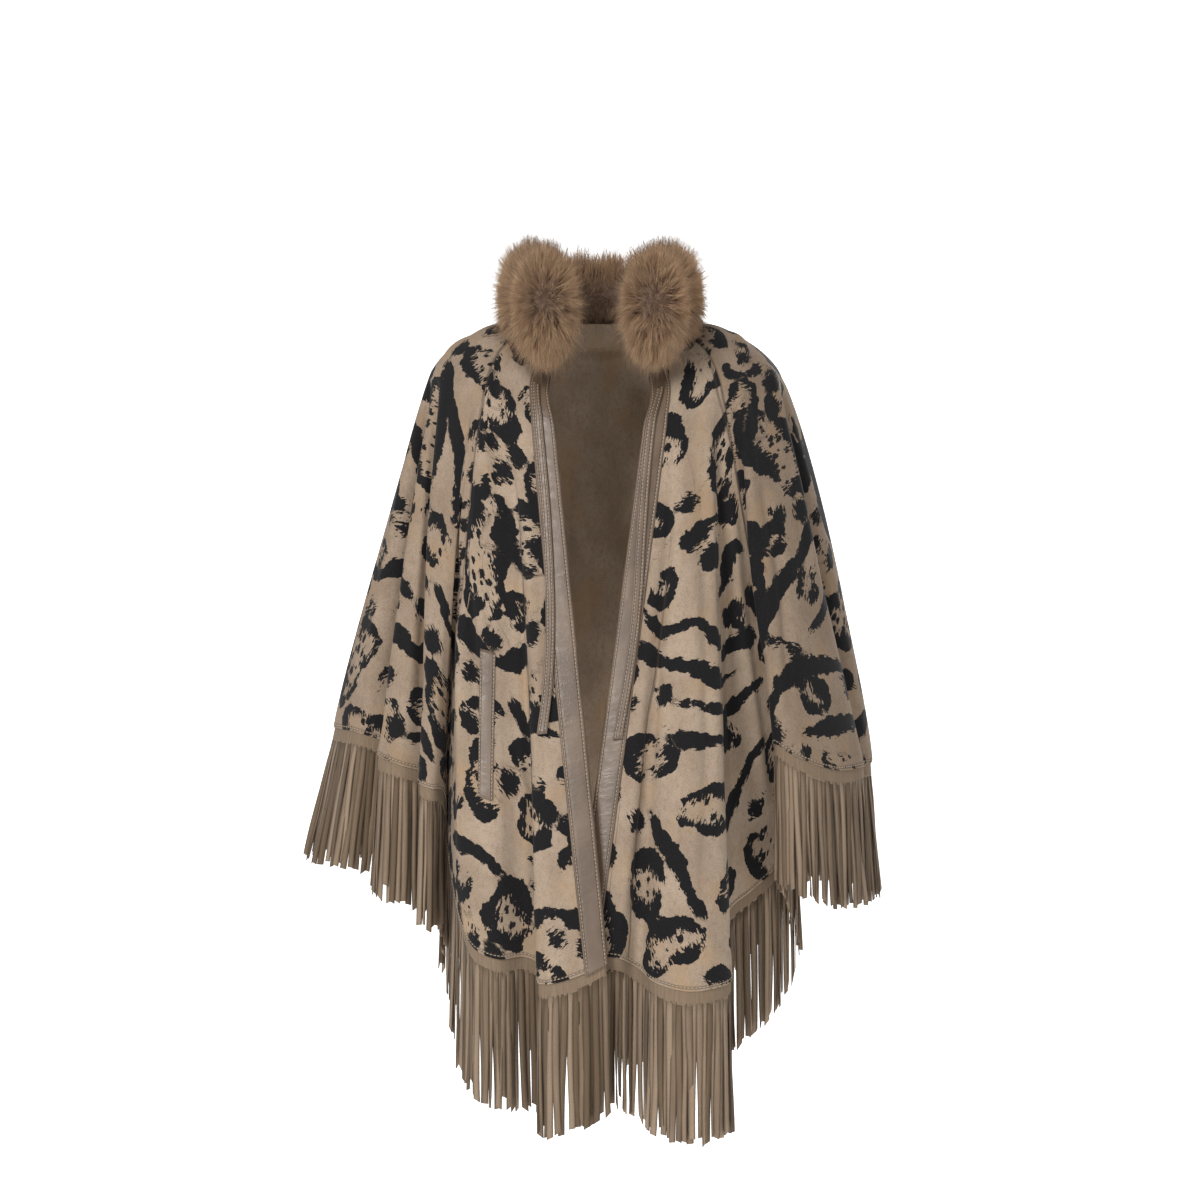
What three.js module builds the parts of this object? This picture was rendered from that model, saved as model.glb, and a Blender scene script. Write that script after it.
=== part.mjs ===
// A fringed cape of printed suede, worn open over the shoulders and arms. It has a fur collar, leather
// bands down both front edges, two leather ties, a welt pocket and a cut suede fringe round the hem.
// Millimetres, +Z up. The front faces -Y, the wearer's right is -X. The origin is where the cape is
// held: midway between the shoulders, at their height.
import * as THREE from "three";

// ---------------------------------------------------------------- driving sizes
const SUEDE = 2.0; // wall of a suede panel with its turned seams
const SEAM_GAP = 0.3; // between pieces that meet
const BAND_LEATHER = 1.4;
const TIE_WIDTH = 10; // a folded and stitched leather tie
const TIE_LEATHER = 2.4;
const WELT = { width: 17, leather: 1.6, clearance: 0.3 };
const FRINGE = { // length and armLength: from the hem to the tips. cut: what is lost between strands
  length: 156, armLength: 148, strip: 15, thickness: 1.5, pitch: 10.7, cut: 1.4, uneven: 5, gap: 0.97,
};

// ---------------------------------------------------------------- the figure under the cape
// Level rings that the cloth lies on before it hangs free. Heights are at the front, side and back.
const RINGS = {
  neck: { right: 70, left: 70, front: 72, back: 62, zFront: -65, zSide: 24, zBack: 30 },
  shoulder: { right: 132, left: 139, front: 104, back: 98, zFront: -78, zSide: 18, zBack: 2 },
  hang: { right: 191, left: 203, front: 118, back: 118, zFront: -105, zSide: -40, zBack: -80 },
};
const BOW_POWER = 0.6; // below 1, a bowed line leaves the shoulder flatter than an arc does
// Turns round the neckline for turns round the hanging ring. The steps at both ends keep the width
// of the leather bands the same all the way up.
const NECK_TURNS = [[15, 45], [22, 63], [340, 298], [346.5, 315]];

// ---------------------------------------------------------------- folds, a row for each crest or hollow
// at: degrees round the hanging ring, from the centre front by the wearer's right side to 360.
// x, y, z: where that line of cloth reaches the hem. bow: how far it bows out on the way there.
// lean: how far its fringe follows the cloth's slope.
const RIGHT_FOLDS = [
  { fold: "front edge", at: 15, x: 7, y: -238, z: -659, lean: 0.1, bow: 0 },
  { fold: "band edge", at: 22, x: -16, y: -241, z: -671, lean: 0.1, bow: 0 },
  { fold: "first crest", at: 26, x: -48, y: -243, z: -681, lean: 0.1, bow: 0 },
  { fold: "first turn", at: 29.2, x: -65, y: -231, z: -682, lean: 0.1, bow: 0 },
  { fold: "first hollow", at: 30.8, x: -60, y: -207, z: -668, lean: 0.1, bow: 0 },
  { fold: "hollow side", at: 32.5, x: -78, y: -202, z: -659, lean: 0.1, bow: 0 },
  { fold: "second crest", at: 35, x: -106, y: -220, z: -659, lean: 0.1, bow: 2 },
  { fold: "pocket side", at: 37.5, x: -130, y: -211, z: -650, lean: 0.1, bow: 8 },
  { fold: "second turn", at: 40, x: -145, y: -184, z: -627, lean: 0.1, bow: 15 },
  { fold: "arm hollow", at: 42, x: -157, y: -150, z: -584, lean: 0.1, bow: 12 },
  { fold: "hollow back", at: 44.3, x: -164, y: -122, z: -542, lean: 0.1, bow: 9 },
  { fold: "third edge", at: 46.5, x: -166, y: -144, z: -489, lean: 0.2, bow: 7 },
  { fold: "third crest", at: 54, x: -178, y: -162, z: -486, lean: 0.2, bow: 3 },
  { fold: "third turn", at: 68, x: -193, y: -152, z: -481, lean: 0.2, bow: 0 },
  { fold: "third hollow", at: 71, x: -190, y: -124, z: -471, lean: 0.2, bow: 0 },
  { fold: "fourth crest", at: 75, x: -214, y: -131, z: -463, lean: 0.3, bow: 0 },
  { fold: "fourth turn", at: 82, x: -240, y: -112, z: -453, lean: 0.4, bow: -3 },
  { fold: "fourth hollow", at: 84.5, x: -235, y: -80, z: -441, lean: 0.5, bow: -3 },
  { fold: "outer crest", at: 88, x: -264, y: -76, z: -431, lean: 0.7, bow: 3 },
  { fold: "arm side", at: 94, x: -294, y: -25, z: -428, lean: 0.8, bow: 6 },
];
const LEFT_FOLDS = [
  { fold: "arm side", at: 269, x: 304, y: -4, z: -467, lean: 0.3, bow: 11 },
  { fold: "outer crest", at: 278, x: 298, y: -24, z: -468, lean: 0.3, bow: 9 },
  { fold: "outer hollow", at: 283.5, x: 284, y: -42, z: -468, lean: 0.2, bow: 2 },
  { fold: "outer turn", at: 287, x: 290, y: -66, z: -468, lean: 0.2, bow: 0 },
  { fold: "wing crest", at: 298, x: 252, y: -116, z: -469, lean: 0.2, bow: 0 },
  { fold: "wing front", at: 308, x: 205, y: -141, z: -451, lean: 0.2, bow: 0 },
  { fold: "wing edge", at: 311.5, x: 186, y: -130, z: -440, lean: 0.2, bow: 0 },
  { fold: "wing return", at: 314.5, x: 200, y: -103, z: -474, lean: 0.1, bow: 0 },
  { fold: "arm hollow", at: 317.6, x: 212, y: -76, z: -528, lean: 0.1, bow: 0 },
  { fold: "hollow side", at: 319.4, x: 194, y: -84, z: -574, lean: 0.1, bow: 0 },
  { fold: "hollow middle", at: 321, x: 165, y: -100, z: -600, lean: 0.1, bow: 0 },
  { fold: "hollow front", at: 322.4, x: 140, y: -120, z: -619, lean: 0.1, bow: 0 },
  { fold: "second turn", at: 323.5, x: 132, y: -166, z: -660, lean: 0.1, bow: 0 },
  { fold: "second edge", at: 324.6, x: 137, y: -214, z: -682, lean: 0.1, bow: 0 },
  { fold: "second front", at: 327, x: 118, y: -236, z: -687, lean: 0.1, bow: 0 },
  { fold: "second crest", at: 330.5, x: 90, y: -243, z: -689, lean: 0.1, bow: 0 },
  { fold: "first side", at: 333.5, x: 57, y: -229, z: -682, lean: 0.1, bow: 0 },
  { fold: "first hollow", at: 335.8, x: 38, y: -206, z: -669, lean: 0.1, bow: 0 },
  { fold: "first crest", at: 338, x: 20, y: -222, z: -658, lean: 0.1, bow: 0 },
  { fold: "band edge", at: 340, x: -6, y: -219, z: -656, lean: 0.1, bow: 0 },
  { fold: "front edge", at: 346.5, x: -27, y: -212, z: -659, lean: 0.1, bow: 0 },
];
// The back hangs in even waves between the two arms.
const BACK = { folds: 17, halfWidth: 297, depth: 212, zCentre: -682, wave: 15, armShare: 0.2, bow: 4 };

const SEAM = { // rows of the fold list where two panels are sewn together
  frontRight: RIGHT_FOLDS.findIndex((row) => row.fold === "arm hollow"),
  frontLeft: LEFT_FOLDS.findIndex((row) => row.fold === "arm hollow"),
  backIn: 3, // back rows that belong to the side panels
};

const radians = THREE.MathUtils.degToRad;
const mix = THREE.MathUtils.lerp;
const smooth = THREE.MathUtils.smoothstep;

/** Rows of the back, from the wearer's right arm round to the left arm. */
function backFolds() {
  const last = RIGHT_FOLDS[RIGHT_FOLDS.length - 1];
  const next = LEFT_FOLDS[0];
  const rows = [];
  for (let i = 1; i <= BACK.folds; i += 1) {
    const share = i / (BACK.folds + 1);
    const turn = Math.PI * share;
    const fromArm = Math.min(share, 1 - share);
    const wave = BACK.wave * (i % 2 ? 1 : -1) * smooth(fromArm, 0, BACK.armShare);
    const armZ = mix(last.z, next.z, share);
    rows.push({
      fold: `back ${i}`,
      at: mix(last.at, next.at, share),
      x: -(BACK.halfWidth + wave) * Math.cos(turn),
      y: (BACK.depth + wave) * Math.sin(turn),
      z: mix(armZ, BACK.zCentre, smooth(1 - Math.abs(Math.cos(turn)), 0.13, 0.8)),
      lean: mix(mix(last.lean, next.lean, share), 0.15, smooth(fromArm, 0, BACK.armShare)),
      bow: mix(mix(last.bow, next.bow, share), BACK.bow, smooth(fromArm, 0, BACK.armShare)),
    });
  }
  return rows;
}

const FOLDS = [...RIGHT_FOLDS, ...backFolds(), ...LEFT_FOLDS];
const LAST = FOLDS.length - 1;
const HEM = new THREE.CatmullRomCurve3(
  FOLDS.map((row) => new THREE.Vector3(row.x, row.y, row.z)), false, "centripetal");

const columns = { // where each panel starts and ends, counted in rows of the fold list
  start: 0,
  frontRight: SEAM.frontRight,
  backRight: RIGHT_FOLDS.length + SEAM.backIn,
  backLeft: LAST - LEFT_FOLDS.length - SEAM.backIn,
  frontLeft: LAST - LEFT_FOLDS.length + 1 + SEAM.frontLeft,
  end: LAST,
};

// ---------------------------------------------------------------- the draped surface
/** A point of a ring, for an angle round it. */
function ringPoint(ring, degrees) {
  const turn = radians(degrees);
  const facing = Math.cos(turn);
  const depth = facing > 0 ? ring.front : ring.back;
  const width = degrees < 180 ? ring.right : ring.left;
  const zEnd = facing > 0 ? ring.zFront : ring.zBack;
  return new THREE.Vector3(-width * Math.sin(turn), -depth * facing,
    mix(zEnd, ring.zSide, Math.sin(turn) ** 2));
}

/** A value of the fold list between its rows. */
function foldValue(key, column) {
  const i = Math.min(Math.floor(column), LAST - 1);
  return mix(FOLDS[i][key], FOLDS[i + 1][key], column - i);
}

/** The turn round the neckline for a turn round the hanging ring. */
function neckTurn(at) {
  const steps = NECK_TURNS.slice(0, -1);
  const i = Math.max(0, steps.findLastIndex(([from]) => from <= at));
  const [[from, neckFrom], [to, neckTo]] = [NECK_TURNS[i], NECK_TURNS[i + 1]];
  return mix(neckFrom, neckTo, (at - from) / (to - from));
}

/** Cubic between two points with a tangent at each. */
function hermite(from, to, leave, arrive, t) {
  const t2 = t * t;
  const t3 = t2 * t;
  return new THREE.Vector3()
    .addScaledVector(from, 2 * t3 - 3 * t2 + 1)
    .addScaledVector(leave, t3 - 2 * t2 + t)
    .addScaledVector(to, 3 * t2 - 2 * t3)
    .addScaledVector(arrive, t3 - t2);
}

/** The cloth's outer face. down is 0 at the neck, 1 where the cloth starts to hang and 2 at the hem. */
function drape(column, down) {
  const at = foldValue("at", column);
  const neck = ringPoint(RINGS.neck, neckTurn(at));
  const hang = ringPoint(RINGS.hang, at);
  const hem = HEM.getPoint(column / LAST);
  if (down >= 1) {
    const bow = foldValue("bow", column) * (4 * (down - 1) * (2 - down)) ** BOW_POWER;
    const side = new THREE.Vector3(hang.x, hang.y, 0).setLength(bow);
    return hang.lerp(hem, down - 1).add(side);
  }
  const between = neck.clone().add(hang).multiplyScalar(0.5);
  const ring = RINGS.shoulder;
  const depth = between.y < 0 ? ring.front : ring.back;
  const width = between.x < 0 ? ring.right : ring.left;
  const turn = THREE.MathUtils.radToDeg(Math.atan2(-between.x / width, -between.y / depth));
  const shoulder = ringPoint(ring, (turn + 360) % 360);
  const across = hang.clone().sub(neck).multiplyScalar(0.5);
  if (down < 0.5) return hermite(neck, shoulder, shoulder.clone().sub(neck), across, down * 2);
  const fall = hem.sub(hang).setLength(hang.distanceTo(shoulder));
  return hermite(shoulder, hang, across, fall, down * 2 - 1);
}

/** Unit vector out of the cloth. */
function outward(column, down) {
  const STEP = 1e-3;
  const west = drape(Math.max(column - STEP, 0), down);
  const east = drape(Math.min(column + STEP, LAST), down);
  const above = drape(column, Math.max(down - STEP, 0));
  const below = drape(column, Math.min(down + STEP, 2));
  return east.sub(west).cross(below.sub(above)).normalize();
}

/** Unit vector along the hem, towards higher columns. */
function along(column, down) {
  const STEP = 1e-3;
  const west = drape(Math.max(column - STEP, 0), down);
  return drape(Math.min(column + STEP, LAST), down).sub(west).normalize();
}

/** A point moved out of the cloth by a height, and along the hem by a shift. */
function lifted(column, down, height, shift = 0) {
  return drape(column, down)
    .addScaledVector(outward(column, down), height)
    .addScaledVector(along(column, down), shift);
}

/** The column that lies a distance in from a front edge, at a height. */
function columnInFrom(edge, distance, down) {
  const STEP = 0.02;
  const direction = edge === 0 ? 1 : -1;
  let column = edge;
  let gone = 0;
  while (gone < distance) {
    gone += drape(column, down).distanceTo(drape(column + direction * STEP, down));
    column += direction * STEP;
  }
  return column;
}

// ---------------------------------------------------------------- closed walls
/** Triangles of quads, each split from its first corner. */
const halved = (quads) => quads.flatMap(([a, b, c, d]) => [a, b, c, a, c, d]);

/** A mesh of triangles in a material, turned so that its faces point out. */
function solid(name, material, points, faces) {
  const position = points.flatMap((p) => [p.x, p.y, p.z]);
  let volume = 0;
  for (let i = 0; i < faces.length; i += 3) {
    const [a, b, c] = [points[faces[i]], points[faces[i + 1]], points[faces[i + 2]]];
    volume += a.dot(b.clone().cross(c));
  }
  const geometry = new THREE.BufferGeometry();
  geometry.setAttribute("position", new THREE.Float32BufferAttribute(position, 3));
  geometry.setIndex(volume < 0 ? [...faces].reverse() : faces);
  geometry.computeVertexNormals();
  const mesh = new THREE.Mesh(geometry, material);
  mesh.name = name;
  return mesh;
}

/** A closed wall between two grids of points, each a list of columns that run down. */
function wall(name, material, outer, inner) {
  const wide = outer.length;
  const tall = outer[0].length;
  const points = [...outer.flat(), ...inner.flat()];
  const out = (i, j) => i * tall + j;
  const within = (i, j) => wide * tall + i * tall + j;
  const quads = [];
  for (let i = 0; i + 1 < wide; i += 1) {
    for (let j = 0; j + 1 < tall; j += 1) {
      quads.push([out(i, j), out(i, j + 1), out(i + 1, j + 1), out(i + 1, j)]);
      quads.push([within(i, j), within(i + 1, j), within(i + 1, j + 1), within(i, j + 1)]);
    }
    quads.push([out(i, 0), out(i + 1, 0), within(i + 1, 0), within(i, 0)]);
    quads.push([out(i + 1, tall - 1), out(i, tall - 1), within(i, tall - 1), within(i + 1, tall - 1)]);
  }
  for (let j = 0; j + 1 < tall; j += 1) {
    quads.push([out(0, j + 1), out(0, j), within(0, j), within(0, j + 1)]);
    quads.push([out(wide - 1, j + 1), within(wide - 1, j + 1), within(wide - 1, j), out(wide - 1, j)]);
  }
  return solid(name, material, points, halved(quads));
}

/** Evenly spaced values from one number to another, both included. */
function spread(from, to, count) {
  return Array.from({ length: count }, (_, i) => mix(from, to, i / (count - 1)));
}

const LEVELS = [0, 0.25, 0.5, 0.75, 1, 1.2, 1.45, 1.72, 2];
const PER_ROW = 2; // columns of a panel's mesh for each row of the fold list

/** A suede panel between two columns, cut back by half a seam's gap at each side. */
function panel(name, from, to) {
  const places = spread(from, to, (to - from) * PER_ROW + 1);
  const shiftOf = (i) => (i === 0 ? 1 : i === places.length - 1 ? -1 : 0) * SEAM_GAP / 2;
  const grid = (height) => places.map((column, i) =>
    LEVELS.map((down) => lifted(column, down, height, shiftOf(i))));
  return wall(name, suede, grid(0), grid(-SUEDE));
}

/** A strip on a panel's outer face, given the columns of its two sides at each level. */
function strip(name, material, levels, sides, lift, thickness, across = 2) {
  const grid = (height) => spread(0, 1, across + 1).map((share) =>
    levels.map((down) => {
      const [from, to] = sides(down);
      return lifted(mix(from, to, share), down, height);
    }));
  return wall(name, material, grid(lift + thickness), grid(lift));
}

// ---------------------------------------------------------------- fringe
/** Repeatable unevenness between -1 and 1, from a strand's number. */
const uneven = (n) => Math.sin(n * 12.9898) * Math.cos(n * 4.1414);

/** Which way the fringe hangs at a column. */
function hanging(column) {
  const slope = drape(column, 2).sub(drape(column, 1)).normalize();
  return new THREE.Vector3(0, 0, -1).lerp(slope, foldValue("lean", column)).normalize();
}

/** A point of the hem on the straight line between the two nearest columns of a panel's mesh. */
function hemChord(column, height) {
  const i = Math.min(Math.floor(column * PER_ROW), LAST * PER_ROW - 1);
  const [west, east] = [i, i + 1].map((n) => lifted(n / PER_ROW, 2, height));
  return west.lerp(east, column * PER_ROW - i);
}

/** Columns that cut a stretch of hem into strands of even width. */
function strandColumns(from, to) {
  const STEPS = 60 * Math.ceil(to - from);
  const places = spread(from, to, STEPS + 1);
  const reach = [0];
  for (let i = 1; i <= STEPS; i += 1) {
    reach.push(reach[i - 1] + drape(places[i], 2).distanceTo(drape(places[i - 1], 2)));
  }
  const count = Math.round(reach[STEPS] / FRINGE.pitch);
  const placeAt = (distance) => {
    const i = Math.min(reach.findIndex((r) => r >= distance - 1e-6), STEPS);
    if (i <= 0) return from;
    return mix(places[i - 1], places[i], (distance - reach[i - 1]) / (reach[i] - reach[i - 1]));
  };
  const pitch = reach[STEPS] / count;
  return Array.from({ length: count }, (_, i) => [
    placeAt(i * pitch + FRINGE.cut / 2), placeAt((i + 1) * pitch - FRINGE.cut / 2)]);
}

/** A strip along the hem with strands cut out of it, as one closed comb. */
function fringe(name, from, to, reach) {
  const strands = strandColumns(from, to);
  const points = [];
  const quads = [];
  const side = (column) => { // four points: out and in at the top, out and in at the strip's foot
    const way = hanging(column);
    const off = outward(column, 2).cross(along(column, 2)).setLength(FRINGE.gap);
    const inset = (SUEDE - FRINGE.thickness) / 2;
    const top = hemChord(column, -inset).add(off);
    const back = hemChord(column, inset - SUEDE).add(off);
    points.push(top, back);
    points.push(...[top, back].map((p) => p.clone().addScaledVector(way, FRINGE.strip)));
    return points.length - 4;
  };
  let before = null;
  strands.forEach(([west, east], n) => {
    const [a, b] = [side(west), side(east)];
    const length = reach - FRINGE.strip + FRINGE.uneven * uneven(n);
    const tips = [a + 2, a + 3, b + 2, b + 3].map((i, k) => {
      points.push(points[i].clone().addScaledVector(hanging(k < 2 ? west : east), length));
      return points.length - 1;
    });
    const [outA, inA, outB, inB] = tips;
    quads.push([a, a + 2, b + 2, b], [a + 1, b + 1, b + 3, a + 3], [a, b, b + 1, a + 1]);
    quads.push([a + 2, outA, outB, b + 2], [a + 3, b + 3, inB, inA]);
    quads.push([a + 2, a + 3, inA, outA], [b + 2, outB, inB, b + 3], [outA, inA, inB, outB]);
    if (before === null) quads.push([a, a + 1, a + 3, a + 2]);
    else {
      const c = before;
      quads.push([c, c + 2, a + 2, a], [c + 1, a + 1, a + 3, c + 3], [c, a, a + 1, c + 1]);
      quads.push([c + 2, c + 3, a + 3, a + 2]);
    }
    before = b;
  });
  quads.push([before, before + 2, before + 3, before + 1]);
  return solid(name, fringeSuede, points, halved(quads));
}

// ---------------------------------------------------------------- fur collar
// Sections of the fur on the wearer's left, from the rounded front end to the centre back. x, y, z:
// the section's centre. wide, tall: its half sizes.
const FUR_SECTIONS = [
  { x: 64, y: -139, z: 31, wide: 22, tall: 38 },
  { x: 64, y: -130, z: 32, wide: 38, tall: 60 },
  { x: 64, y: -112, z: 33, wide: 46, tall: 71 },
  { x: 65, y: -88, z: 36, wide: 47, tall: 72 },
  { x: 69, y: -64, z: 41, wide: 45, tall: 71 },
  { x: 76, y: -42, z: 46, wide: 41, tall: 69 },
  { x: 82, y: -20, z: 50, wide: 37, tall: 67 },
  { x: 85, y: 2, z: 53, wide: 34, tall: 66 },
  { x: 82, y: 26, z: 56, wide: 32, tall: 65 },
  { x: 72, y: 50, z: 57, wide: 31, tall: 65 },
  { x: 54, y: 71, z: 58, wide: 31, tall: 64 },
  { x: 29, y: 84, z: 58, wide: 31, tall: 64 },
];
const FUR_BACK = { x: 0, y: 88, z: 58, wide: 31, tall: 64 };
const FUR_SIDES = 14;
const FUR_SEAT = { back: 0.9, front: 2.5, rise: 0.12, most: 5 }; // its height over the cloth

/** Height of the cloth's outer face over a place, and how far that place is out from the neck seam. */
function clothUnder(x, y) {
  const turnOf = (p) => (THREE.MathUtils.radToDeg(Math.atan2(-p.x, -p.y)) + 360) % 360;
  const reach = Math.hypot(x, y);
  const turn = turnOf({ x, y });
  let before = null;
  for (const down of spread(0, 1.3, 27)) {
    let [low, high] = [0, LAST];
    for (let i = 0; i < 14; i += 1) {
      const middle = (low + high) / 2;
      if (turnOf(drape(middle, down)) < turn) low = middle;
      else high = middle;
    }
    const here = drape(low, down);
    const r = Math.hypot(here.x, here.y);
    const row = { r, z: here.z, neck: before ? before.neck : r };
    if (row.r >= reach) {
      const share = before ? (reach - before.r) / (row.r - before.r) : 0;
      return { z: before ? mix(before.z, row.z, share) : row.z, out: Math.max(reach - row.neck, 0) };
    }
    before = row;
  }
  return { z: before.z, out: reach - before.neck };
}

/** The collar: rounded fur round the neck seam, open at the front, lying on the panels. */
function furCollar() {
  const right = FUR_SECTIONS.map((row) => ({ ...row, x: -row.x }));
  const rows = [...right, FUR_BACK, ...[...FUR_SECTIONS].reverse()];
  const centres = rows.map((row) => new THREE.Vector3(row.x, row.y, row.z));
  const points = rows.flatMap((row, i) => {
    const ahead = centres[Math.min(i + 1, rows.length - 1)].clone().sub(centres[Math.max(i - 1, 0)]);
    const away = new THREE.Vector3(-ahead.y, ahead.x, 0).normalize();
    return Array.from({ length: FUR_SIDES }, (_, k) => {
      const turn = (k / FUR_SIDES) * 2 * Math.PI;
      const p = centres[i].clone().addScaledVector(away, row.wide * Math.sin(turn));
      p.z -= row.tall * Math.cos(turn);
      const under = clothUnder(p.x, p.y);
      const seat = p.y > 0 ? FUR_SEAT.back : FUR_SEAT.front;
      p.z = Math.max(p.z, under.z + Math.min(seat + under.out * FUR_SEAT.rise, FUR_SEAT.most));
      return p;
    });
  });
  const at = (i, k) => i * FUR_SIDES + (k % FUR_SIDES);
  const quads = [];
  for (let i = 0; i + 1 < rows.length; i += 1) {
    for (let k = 0; k < FUR_SIDES; k += 1) {
      quads.push([at(i, k), at(i, k + 1), at(i + 1, k + 1), at(i + 1, k)]);
    }
  }
  const faces = halved(quads);
  for (const [i, facing] of [[0, -1], [rows.length - 1, 1]]) {
    points.push(centres[i].clone().add(new THREE.Vector3(0, -4, 0)));
    const nose = points.length - 1;
    for (let k = 0; k < FUR_SIDES; k += 1) {
      faces.push(...(facing < 0 ? [nose, at(i, k + 1), at(i, k)] : [nose, at(i, k), at(i, k + 1)]));
    }
  }
  return solid("fur_collar", fur, points, faces);
}

// ---------------------------------------------------------------- materials
const finish = (color, roughness) => new THREE.MeshStandardMaterial({ color, roughness, metalness: 0 });
const suede = finish(0x8f7961, 0.95);
const fringeSuede = finish(0x86705a, 0.95);
const leather = finish(0x85705f, 0.55);
const fur = finish(0x7d6048, 0.9);

// ---------------------------------------------------------------- the pieces
const cape = new THREE.Group();
const { start, frontRight, backRight, backLeft, frontLeft, end } = columns;

for (const [name, from, to] of [
  ["front_right", start, frontRight], ["side_right", frontRight, backRight],
  ["back", backRight, backLeft], ["side_left", backLeft, frontLeft],
  ["front_left", frontLeft, end]]) {
  const reach = name.startsWith("side") ? FRINGE.armLength : FRINGE.length;
  cape.add(panel(name, from, to));
  cape.add(fringe(`fringe_${name}`, from, to, reach));
}

const BAND_LEVELS = LEVELS.slice(1);
const BAND_LIFT = SEAM_GAP;
for (const [name, from] of [["front_band_right", start], ["front_band_left", end - 1]]) {
  cape.add(strip(name, leather, BAND_LEVELS, () => [from, from + 1], BAND_LIFT, BAND_LEATHER));
}

// A tie hangs from under the collar. in: millimetres from the front edge to its middle, at each level.
const TIES = {
  tie_right: [
    { down: 0.5, in: 17 }, { down: 0.75, in: 17 }, { down: 1, in: 17 }, { down: 1.16, in: 17.5 },
    { down: 1.3, in: 21 }, { down: 1.4, in: 26 }, { down: 1.49, in: 34 }, { down: 1.57, in: 44 },
  ],
  tie_left: [
    { down: 0.5, in: 12 }, { down: 0.75, in: 8 }, { down: 1, in: 6.5 }, { down: 1.15, in: 10 },
    { down: 1.33, in: 17.5 }, { down: 1.43, in: 19.5 }, { down: 1.52, in: 18.5 }, { down: 1.6, in: 16.5 },
  ],
};
const TIE_LIFT = BAND_LIFT + BAND_LEATHER + 0.8;
for (const [name, route] of Object.entries(TIES)) {
  const edge = name === "tie_right" ? start : end;
  const inAt = new Map(route.map((row) => [row.down, row.in]));
  cape.add(strip(name, leather, route.map((row) => row.down), (down) => [
    columnInFrom(edge, Math.max(inAt.get(down) - TIE_WIDTH / 2, 0.5), down),
    columnInFrom(edge, inAt.get(down) + TIE_WIDTH / 2, down)], TIE_LIFT, TIE_LEATHER, 1));
}

// The welt of the pocket, by the hand on the right front.
const POCKET = { column: 6.5, top: 1.45, foot: 1.72 };
cape.add(strip("pocket_welt", leather, spread(POCKET.top, POCKET.foot, 5), (down) => {
  const half = 0.5 * WELT.width / drape(POCKET.column, down).distanceTo(drape(POCKET.column + 1, down));
  return [POCKET.column - half, POCKET.column + half];
}, WELT.clearance, WELT.leather));

cape.add(furCollar());

export default cape;
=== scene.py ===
"""Looks of an open fringed cape: printed suede panels, leather bands and ties, a fur collar, a cut fringe.

Every new piece is a grid of points worked out with numpy on one draped surface, the same one that the
solids follow. Lengths are millimetres until a mesh is made, and +Z is up. The front faces -Y and the
wearer's right is -X.
"""

from __future__ import annotations

import logging
from collections.abc import Sequence
from dataclasses import dataclass, field
from enum import Enum

import bpy
import numpy as np
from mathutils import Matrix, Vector

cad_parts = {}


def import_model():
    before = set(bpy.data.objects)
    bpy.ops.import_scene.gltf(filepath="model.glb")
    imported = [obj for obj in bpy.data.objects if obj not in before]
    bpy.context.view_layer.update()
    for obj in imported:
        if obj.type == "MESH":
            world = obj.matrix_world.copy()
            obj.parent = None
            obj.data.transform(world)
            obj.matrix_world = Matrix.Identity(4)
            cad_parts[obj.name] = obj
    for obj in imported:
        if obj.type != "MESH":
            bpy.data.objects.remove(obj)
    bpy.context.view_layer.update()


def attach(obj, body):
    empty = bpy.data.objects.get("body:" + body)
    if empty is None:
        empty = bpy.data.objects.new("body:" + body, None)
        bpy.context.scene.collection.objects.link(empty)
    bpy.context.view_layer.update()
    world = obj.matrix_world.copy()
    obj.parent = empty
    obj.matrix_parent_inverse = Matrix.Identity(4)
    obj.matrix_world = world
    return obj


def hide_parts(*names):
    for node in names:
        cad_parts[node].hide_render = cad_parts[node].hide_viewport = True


LOG = logging.getLogger("fringed_cape")
MM = 0.001  # metres in a millimetre
Array = np.ndarray
Rng = np.random.Generator
Piece = bpy.types.Object
Material = bpy.types.Material
Tree = bpy.types.NodeTree
Socket = bpy.types.NodeSocket
Rows = tuple[tuple[float, ...], ...]
SewnLine = tuple[Array, Array]  # points of a line, and unit vectors out of the surface there
SMOOTH = {"interpolation_type": "SMOOTHSTEP"}  # settings of nodes
RGBA = {"data_type": "RGBA"}


# ---- small vector helpers
def lengths(vectors: Array) -> Array:
    """The length of each vector."""
    return np.linalg.norm(vectors, axis=-1)


def unit(vectors: Array) -> Array:
    """Vectors divided by their own lengths."""
    return vectors / np.maximum(lengths(vectors), 1e-9)[..., None]


def mix(a: Array | float, b: Array | float, share: Array | float) -> Array | float:
    """Straight blend: a where share is 0, b where it is 1."""
    return a + (b - a) * share


def smooth_step(values: Array | float, low: float, high: float) -> Array:
    """Cubic step 3t^2 - 2t^3, from 0 at low to 1 at high."""
    t = np.clip((np.asarray(values, float) - low) / (high - low), 0.0, 1.0)
    return t * t * (3.0 - 2.0 * t)


def hermite(start: Array, end: Array, leave: Array, arrive: Array, t: Array) -> Array:
    """Cubic from start to end with the tangents leave and arrive, at t from 0 to 1."""
    t = t.reshape(t.shape + (1,) * (start.ndim - t.ndim))
    t2, t3 = t * t, t * t * t
    return (start * (2 * t3 - 3 * t2 + 1) + leave * (t3 - 2 * t2 + t)
            + end * (3 * t2 - 2 * t3) + arrive * (t3 - t2))


def curve_through(at: Array, values: Array) -> Array:
    """A smooth curve through values at 0, 1, 2 and so on: cubics whose slopes are both sides' mean."""
    i = np.clip(np.floor(at).astype(int), 0, len(values) - 2)
    slopes = np.gradient(values, axis=0)
    return hermite(values[i], values[i + 1], slopes[i], slopes[i + 1], at - i)


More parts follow.
